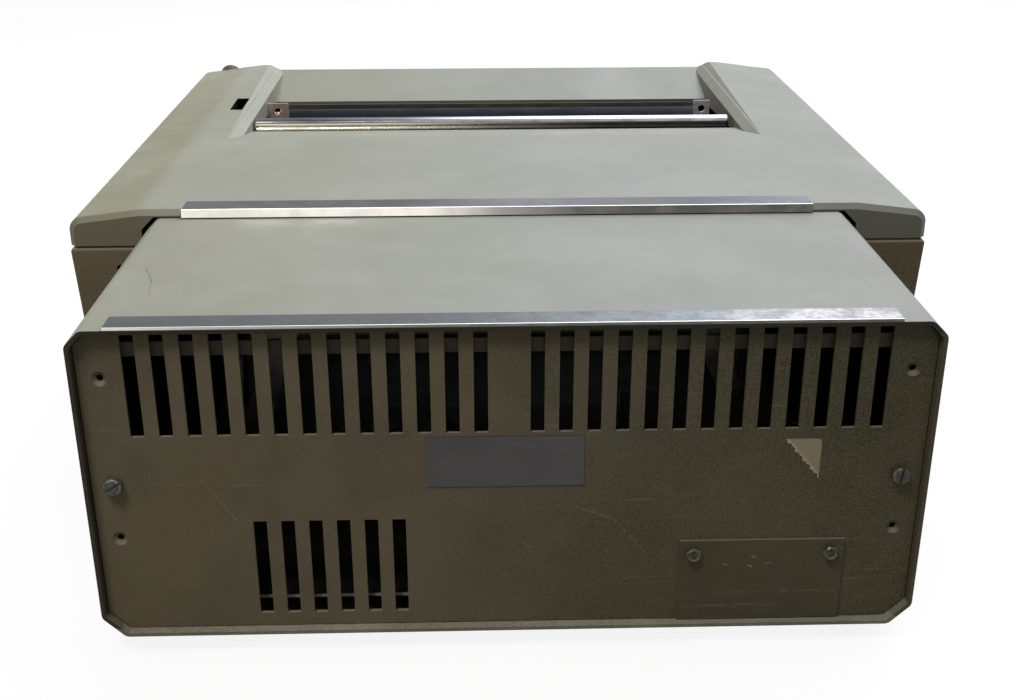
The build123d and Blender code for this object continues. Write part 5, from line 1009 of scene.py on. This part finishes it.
def flared(piece, share):
    """Flare the foot of the rear lip out by a share of its height, so that the lip looks a little upwards."""
    only(piece)
    points = piece.data.vertices
    back = max(p.co.y for p in points)
    heights = [p.co.z for p in points if p.co.y > back - 0.0001]
    bpy.ops.object.mode_set(mode="EDIT")
    bpy.ops.mesh.select_mode(type="VERT")
    bpy.ops.mesh.select_all(action="DESELECT")
    bpy.ops.object.mode_set(mode="OBJECT")
    for point in points:
        point.select = point.co.y > back - 0.0012 and point.co.z < min(heights) + 0.0002
    bpy.ops.object.mode_set(mode="EDIT")
    bpy.ops.transform.translate(value=(0, share * (max(heights) - min(heights)), 0))
    bpy.ops.object.mode_set(mode="OBJECT")


class TELEPRINTER_OT_trim_strips(bpy.types.Operator):
    """Bright strips on the box and the cover"""
    bl_idname = "teleprinter.trim_strips"
    bl_label = "Trim strips"

    def execute(self, context):
        small, edges = context.scene.small_part_look, context.scene.edge_sizes
        bright = small.strip
        # Tones along each strip's top and lip: painted reflections
        box_top_reflections = [(0.0, [c * 0.25 for c in bright]), (0.38, [c * 0.42 for c in bright]),
                    (0.60, [c * 0.88 for c in bright]), (0.735, [c * 1.3 for c in bright]),
                    (0.855, (0.58, 0.60, 0.63)), (1.0, (0.60, 0.60, 0.63))]
        box_lip_reflections = [(0.0, (0.75, 0.70, 0.60)), (0.14, (0.42, 0.40, 0.36)), (0.38, (0.17, 0.16, 0.145)),
                    (0.62, (0.10, 0.095, 0.085)), (1.0, (0.085, 0.08, 0.07))]
        cover_top_reflections = [(0.0, [c * 0.05 for c in bright]), (0.36, [c * 0.05 for c in bright]),
                      (0.5, [c * 0.75 for c in bright]), (0.81, [c * 0.42 for c in bright]),
                      (1.0, [c * 1.1 for c in bright])]
        cover_lip_reflections = [(0.0, (0.86, 0.82, 0.72)), (0.38, (0.90, 0.87, 0.78)), (0.5, (0.33, 0.315, 0.295)),
                      (0.62, (0.10, 0.098, 0.09)), (1.0, (0.08, 0.08, 0.072))]
        for node, name, top_reflections, lip_reflections in (("box_trim", "box_strip", box_top_reflections, box_lip_reflections),
                                       ("cover_trim", "cover_strip", cover_top_reflections, cover_lip_reflections)):
            strip = merged_copy(node, name)
            if node == "cover_trim":
                flared(strip, STRIP_FLARE)
            rounded(strip, edges.strip, 2, 40)
            smoothed(strip, 30)
            painted(strip, trim_metal(name.replace("_", " "), top_reflections, lip_reflections))
            stands_for(strip, node)
        return {"FINISHED"}


class TELEPRINTER_OT_knob(bpy.types.Operator):
    """Fluted knob with a pale dished end"""
    bl_idname = "teleprinter.knob"
    bl_label = "Mode knob"

    def execute(self, context):
        clear_selection()
        bpy.ops.mesh.primitive_cylinder_add(vertices=64, radius=KNOB_RADIUS, depth=KNOB_DEPTH,
                                            location=(0, 0, KNOB_MIDDLE))
        knob = new_piece("fluted_knob")
        count = [0]

        def every_other(_, normal):
            if abs(normal.z) > 0.5:
                return False
            count[0] += 1
            return count[0] % 2

        pick_faces(knob, every_other)
        bpy.ops.mesh.inset(thickness=0.0002, use_individual=True)
        bpy.ops.mesh.extrude_faces_move(TRANSFORM_OT_shrink_fatten={"value": -0.0005})
        bpy.ops.object.mode_set(mode="OBJECT")
        pick_faces(knob, lambda c, n: n.z > 0.9)
        bpy.ops.mesh.inset(thickness=0.0012)
        bpy.ops.transform.translate(value=(0, 0, 0.0003))
        bpy.ops.mesh.inset(thickness=0.0012)
        bpy.ops.mesh.extrude_region_move(TRANSFORM_OT_translate={"value": (0, 0, -0.0014)})
        bpy.ops.mesh.inset(thickness=0.0007)
        bpy.ops.object.mode_set(mode="OBJECT")
        bpy.ops.mesh.primitive_cylinder_add(vertices=32, radius=0.003, depth=0.010, location=(0, 0, -0.004))
        shaft = new_piece("knob_shaft")
        knob = joined([knob, shaft], "fluted_knob")
        smoothed(knob, 32)
        knob.data.transform(FACE @ Matrix.Translation((*KNOB_PLACE, 0)))
        rim = plain_finish("knob rim", (0.022, 0.021, 0.02), (0.07, 0.065, 0.06), size=220.0,
                           rough=(0.4, 0.6), dust=0.4)
        face = plain_finish("knob face", (0.20, 0.20, 0.195), (0.33, 0.33, 0.32), size=200.0,
                            rough=(0.35, 0.5))
        painted(knob, rim, face)
        top = (FACE @ Matrix.Translation((*KNOB_PLACE, KNOB_FACE))).translation
        outward = (FACE.to_3x3() @ Vector((0, 0, 1))).normalized()
        second_material(knob, lambda c, n: n.dot(outward) > 0.8 and (c - top).length < KNOB_FACE_REACH)
        stands_for(knob, "mode_knob")
        return {"FINISHED"}


class TELEPRINTER_OT_keys(bpy.types.Operator):
    """Key rows, space bar and push buttons"""
    bl_idname = "teleprinter.keys"
    bl_label = "Keys and buttons"

    def execute(self, context):
        small, edges = context.scene.small_part_look, context.scene.edge_sizes
        light = plain_finish("light key", small.keys, [c * 0.7 for c in small.keys], size=90.0,
                             grain=1400.0, relief=0.08, rough=(0.32, 0.5), wear=0.35, dust=0.15)
        dark = plain_finish("dark key", small.keys_dark, [c * 1.7 for c in small.keys_dark], size=90.0,
                            grain=1400.0, relief=0.08, rough=(0.32, 0.5), wear=0.35, dust=0.2)
        for node in ("digit_key_row", "upper_key_row", "home_key_row", "lower_key_row"):
            row = softened(node, node.replace("_row", "_caps"), edges.keys, smooth=34)
            painted(row, light, dark)
            low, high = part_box(node)
            second_material(row, lambda c, n: c.x < low[0] + END_KEY or c.x > high[0] - END_KEY)
            stands_for(row, node)
        bar = softened("space_bar", "space_cap", edges.keys, smooth=34)
        painted(bar, dark)
        stands_for(bar, "space_bar")
        for node, base in (("call_button", small.call), ("clear_button", small.clear)):
            cap = softened(node, node.replace("button", "cap"), edges.keys, smooth=34)
            painted(cap, lens_plastic(node.replace("_", " "), base))
            stands_for(cap, node)
        return {"FINISHED"}


class TELEPRINTER_OT_window(bpy.types.Operator):
    """Tilting window in the front face"""
    bl_idname = "teleprinter.window"
    bl_label = "Window"

    def execute(self, context):
        rim = softened("window_frame", "window_rim", context.scene.edge_sizes.frame, angle=30)
        painted(rim, plain_finish("window rim", (0.035, 0.034, 0.030), (0.07, 0.068, 0.06), size=30.0,
                                  rough=(0.38, 0.55), dust=0.2))
        stands_for(rim, "window_frame")
        finish_node(window_glass("window pane"), "window_pane")
        return {"FINISHED"}


class TELEPRINTER_OT_paper_path(bpy.types.Operator):
    """Finishes of the platen, rods, strips and clips in the slot"""
    bl_idname = "teleprinter.paper_path"
    bl_label = "Paper path"

    def execute(self, context):
        small = context.scene.small_part_look
        dressed("platen", "platen rubber", small.rubber, [c * 1.8 for c in small.rubber], size=30.0,
                grain=700.0, relief=0.06, rough=(0.45, 0.6), stretch=0.02, Specular_IOR_Level=0.06)
        dressed("feet pressure_rollers", "soft rubber", (0.018, 0.018, 0.018), (0.045, 0.043, 0.04),
                size=60.0, rough=(0.6, 0.8), dust=0.25)
        finish_node(chrome_with_painted_reflections("chrome with painted reflections"), "guide_rod")
        dressed("tear_strip carriage_rods hinge_pins release_lever", "bright steel", (0.58, 0.57, 0.55),
                (0.34, 0.33, 0.32), size=50.0, grain=1200.0, rough=(0.2, 0.42), stretch=0.03,
                Metallic=1.0)
        dressed("platen_shaft roll_spindle", "oiled steel", (0.10, 0.10, 0.10), (0.05, 0.048, 0.045),
                size=50.0, grain=1200.0, rough=(0.35, 0.55), stretch=0.03, Metallic=0.6)
        for node, tone in (("right_clip", small.brass), ("left_clip", small.clip)):
            dressed(node, node.replace("_", " "), tone, [c * 0.45 for c in tone], size=260.0,
                    rough=(0.25, 0.5), wear=0.8, Metallic=0.5)
        dressed("line_scale", "dull scale", (0.075, 0.066, 0.052), (0.13, 0.11, 0.085), size=70.0,
                grain=1200.0, rough=(0.45, 0.6), stretch=0.05, Metallic=0.2)
        return {"FINISHED"}


class TELEPRINTER_OT_mechanism(bpy.types.Operator):
    """Finishes of the parts inside the casings"""
    bl_idname = "teleprinter.mechanism"
    bl_label = "Mechanism"

    def execute(self, context):
        small = context.scene.small_part_look
        base, tree, shader, place = start_material("base sheet", Roughness=0.65, Specular_IOR_Level=0.04)
        # Painted light and shade: faces that look back through the vents take a lit edge, cream to brown; the
        # rest is painted shade, near black
        rear_light_shade = ranged(tree, normal_of(tree)["Y"], 0.6, 0.9)
        stain = effect(tree, "Blotches", Vector=place, Size=70.0, Low=0.4, High=0.65)
        edge = mixed(tree, stain, (0.80, 0.72, 0.52), (0.34, 0.27, 0.17))
        tone = mixed(tree, rear_light_shade, (0.022, 0.020, 0.016), edge)
        surfaced(tree, shader, place, tone, 800.0, 0.1, 0.0003)
        finish_node(base, "chassis_ties")
        dressed("chassis_rails feed_bracket spindle_brackets belt_brackets ribbon_shelves lever_bracket",
                "dull sheet", (0.085, 0.078, 0.060), (0.045, 0.040, 0.030), size=35.0, grain=800.0,
                rough=(0.5, 0.7), wear=0.7, stretch=0.2, dust=0.08, Specular_IOR_Level=0.08)
        dressed("box_brackets", "painted bracket", (0.17, 0.145, 0.10), (0.09, 0.075, 0.05), size=30.0,
                grain=900.0, rough=(0.5, 0.65), Specular_IOR_Level=0.1)
        dressed("casing_screws foot_screws", "plated screw", small.zinc, [c * 0.5 for c in small.zinc],
                size=300.0, rough=(0.3, 0.5), Metallic=1.0)
        dressed("side_plates key_frame", "blackened steel", (0.020, 0.020, 0.021), (0.045, 0.043, 0.04),
                size=40.0, grain=900.0, rough=(0.45, 0.65), stretch=0.1, dust=0.08,
                Specular_IOR_Level=0.1)
        dressed("platen_gear feed_pinion platen_bushes", "gear brass", (0.60, 0.44, 0.20),
                (0.38, 0.27, 0.12), size=120.0, rough=(0.25, 0.45), Metallic=1.0)
        dressed("feed_motor carriage_motor knob_switch", "motor black", (0.02, 0.02, 0.022),
                (0.06, 0.06, 0.06), size=60.0, rough=(0.3, 0.5), dust=0.25)
        dressed("carriage left_belt_pulley right_belt_pulley", "cast carriage", (0.34, 0.34, 0.335),
                (0.22, 0.22, 0.215), size=60.0, grain=700.0, relief=0.25, rough=(0.4, 0.6), Metallic=0.9)
        for nodes, *finish in (
            ("type_cylinder", "type drum", (0.42, 0.42, 0.43), (0.16, 0.16, 0.165), 0.0014, "Z", 0.35, 0.9),
            ("carriage_belt", "belt ribs", (0.05, 0.05, 0.05), (0.012, 0.012, 0.012), 0.002, "X", 0.7),
            ("left_ribbon_spool right_ribbon_spool", "wound ribbon", (0.05, 0.05, 0.06), (0.01, 0.01, 0.014),
             0.0009, "Z", 0.6),
            ("transformer", "laminations", (0.020, 0.016, 0.012), (0.008, 0.006, 0.005), 0.0010, "Y", 0.7),
        ):
            finish_node(banded_finish(*finish), *nodes.split())
        return {"FINISHED"}


class TELEPRINTER_OT_stage(bpy.types.Operator):
    """Pale floor, soft overhead light, a weak lamp behind, the sky and the camera"""
    bl_idname = "teleprinter.stage"
    bl_label = "Stage"

    def execute(self, context):
        stage = context.scene.stage_look
        clear_selection()
        bpy.ops.mesh.primitive_plane_add(size=FLOOR_SIZE, location=(0, 0, 0))
        floor = new_piece("floor")
        floor.data.materials.append(floor_material(stage))
        for name, power, size, place, aim in (
            ("overhead", stage.key, (2.6, 2.2), (-0.75, -0.8, 2.2), (0, 0.1, 0.1)),
            ("rear lamp", stage.rear, (0.7, 0.6), (0.7, 1.35, 2.3), (0, 0.35, 0.1)),
        ):
            bpy.ops.object.light_add(type="AREA", location=place)
            lamp = bpy.context.object
            lamp.name = name
            lamp.data.shape = "RECTANGLE"
            lamp.data.size, lamp.data.size_y = size
            lamp.data.energy = power
            lamp.rotation_euler = (Vector(aim) - Vector(place)).to_track_quat("-Z", "Y").to_euler()
        world = bpy.data.worlds.new("studio")
        context.scene.world = world
        world.use_nodes = True
        tree = world.node_tree
        tree.nodes.clear()
        around = add(tree, "ShaderNodeBackground", {"Color": (1, 1, 1, 1), "Strength": stage.sky})[0]
        white = add(tree, "ShaderNodeBackground", {"Color": (1, 1, 1, 1), "Strength": 1.0})[0]
        both = add(tree, "ShaderNodeMixShader", {0: seen_directly(tree), 1: around, 2: white})[0]
        add(tree, "ShaderNodeOutputWorld", {"Surface": both})
        camera = bpy.data.objects.new("camera", bpy.data.cameras.new("camera"))
        context.scene.collection.objects.link(camera)
        camera.data.lens = CAMERA_LENS
        camera.data.sensor_width = 36
        camera.data.clip_start = 0.01
        turn = Matrix.Rotation(CAMERA_PAN, 4, "Z") @ Matrix.Rotation(CAMERA_TILT, 4, "X")
        turn = turn @ Matrix.Rotation(CAMERA_ROLL, 4, "Z")
        camera.matrix_world = Matrix.Translation(CAMERA_PLACE) @ turn
        context.scene.camera = camera
        context.scene.view_settings.view_transform = "Standard"
        return {"FINISHED"}


def seen_directly(tree):
    """1 where the camera looks, straight or in a mirror or through glass."""
    path = add(tree, "ShaderNodeLightPath")
    either = number(tree, "MAXIMUM", path["Is Camera Ray"], path["Is Glossy Ray"])
    return number(tree, "MAXIMUM", either, path["Is Transmission Ray"])


def floor_material(stage):
    """White as seen, grey as it lights the object, with the object's shadow kept."""
    material = bpy.data.materials.new("pale floor")
    material.use_nodes = True
    tree = material.node_tree
    tree.nodes.clear()
    lit = add(tree, "ShaderNodeBsdfDiffuse", {"Color": rgba(stage.floor)})[0]
    white = add(tree, "ShaderNodeBsdfDiffuse", {"Color": (0.20, 0.20, 0.20, 1)})[0]
    glow = add(tree, "ShaderNodeEmission", {"Color": (1, 1, 1, 1), "Strength": 0.88})[0]
    seen = add(tree, "ShaderNodeAddShader", {0: white, 1: glow})[0]
    both = add(tree, "ShaderNodeMixShader", {0: seen_directly(tree), 1: lit, 2: seen})[0]
    add(tree, "ShaderNodeOutputMaterial", {"Surface": both})
    return material


PIECES = ("effects", "cover", "lower_casing", "keyboard_surround", "control_box", "rear_panel",
          "sticker_remnant", "blanking_plate", "screws", "name_plate", "trim_strips", "knob", "keys",
          "window", "paper_path", "mechanism", "stage")


class TELEPRINTER_PT_pieces(bpy.types.Panel):
    """Pieces, colours and sizes of the teleprinter"""
    bl_idname = "TELEPRINTER_PT_pieces"
    bl_label = "Teleprinter"
    bl_space_type = "VIEW_3D"
    bl_region_type = "UI"
    bl_category = "Teleprinter"

    def draw(self, context):
        for name in PIECES:
            self.layout.operator(f"teleprinter.{name}")
        for group in GROUPS:
            settings = getattr(context.scene, group)
            box = self.layout.box()
            for key in settings.__annotations__:
                box.prop(settings, key)


GROUPS = {"casing_look": CasingLook, "small_part_look": SmallPartLook, "edge_sizes": EdgeSizes,
          "screw_sizes": ScrewSizes, "stage_look": StageLook}
CLASSES = (*GROUPS.values(), TELEPRINTER_OT_effects,
           TELEPRINTER_OT_cover, TELEPRINTER_OT_lower_casing, TELEPRINTER_OT_keyboard_surround,
           TELEPRINTER_OT_control_box, TELEPRINTER_OT_rear_panel, TELEPRINTER_OT_sticker_remnant,
           TELEPRINTER_OT_blanking_plate, TELEPRINTER_OT_screws, TELEPRINTER_OT_name_plate,
           TELEPRINTER_OT_trim_strips, TELEPRINTER_OT_knob, TELEPRINTER_OT_keys, TELEPRINTER_OT_window,
           TELEPRINTER_OT_paper_path, TELEPRINTER_OT_mechanism, TELEPRINTER_OT_stage, TELEPRINTER_PT_pieces)


def register():
    for item in CLASSES:
        bpy.utils.register_class(item)
    for name, group in GROUPS.items():
        setattr(bpy.types.Scene, name, bpy.props.PointerProperty(type=group))


def unregister():
    for name in GROUPS:
        delattr(bpy.types.Scene, name)
    for item in reversed(CLASSES):
        bpy.utils.unregister_class(item)


def main():
    """Dress the whole teleprinter."""
    register()
    for name in PIECES:
        getattr(bpy.ops.teleprinter, name)()


if __name__ == "__main__":
    main()
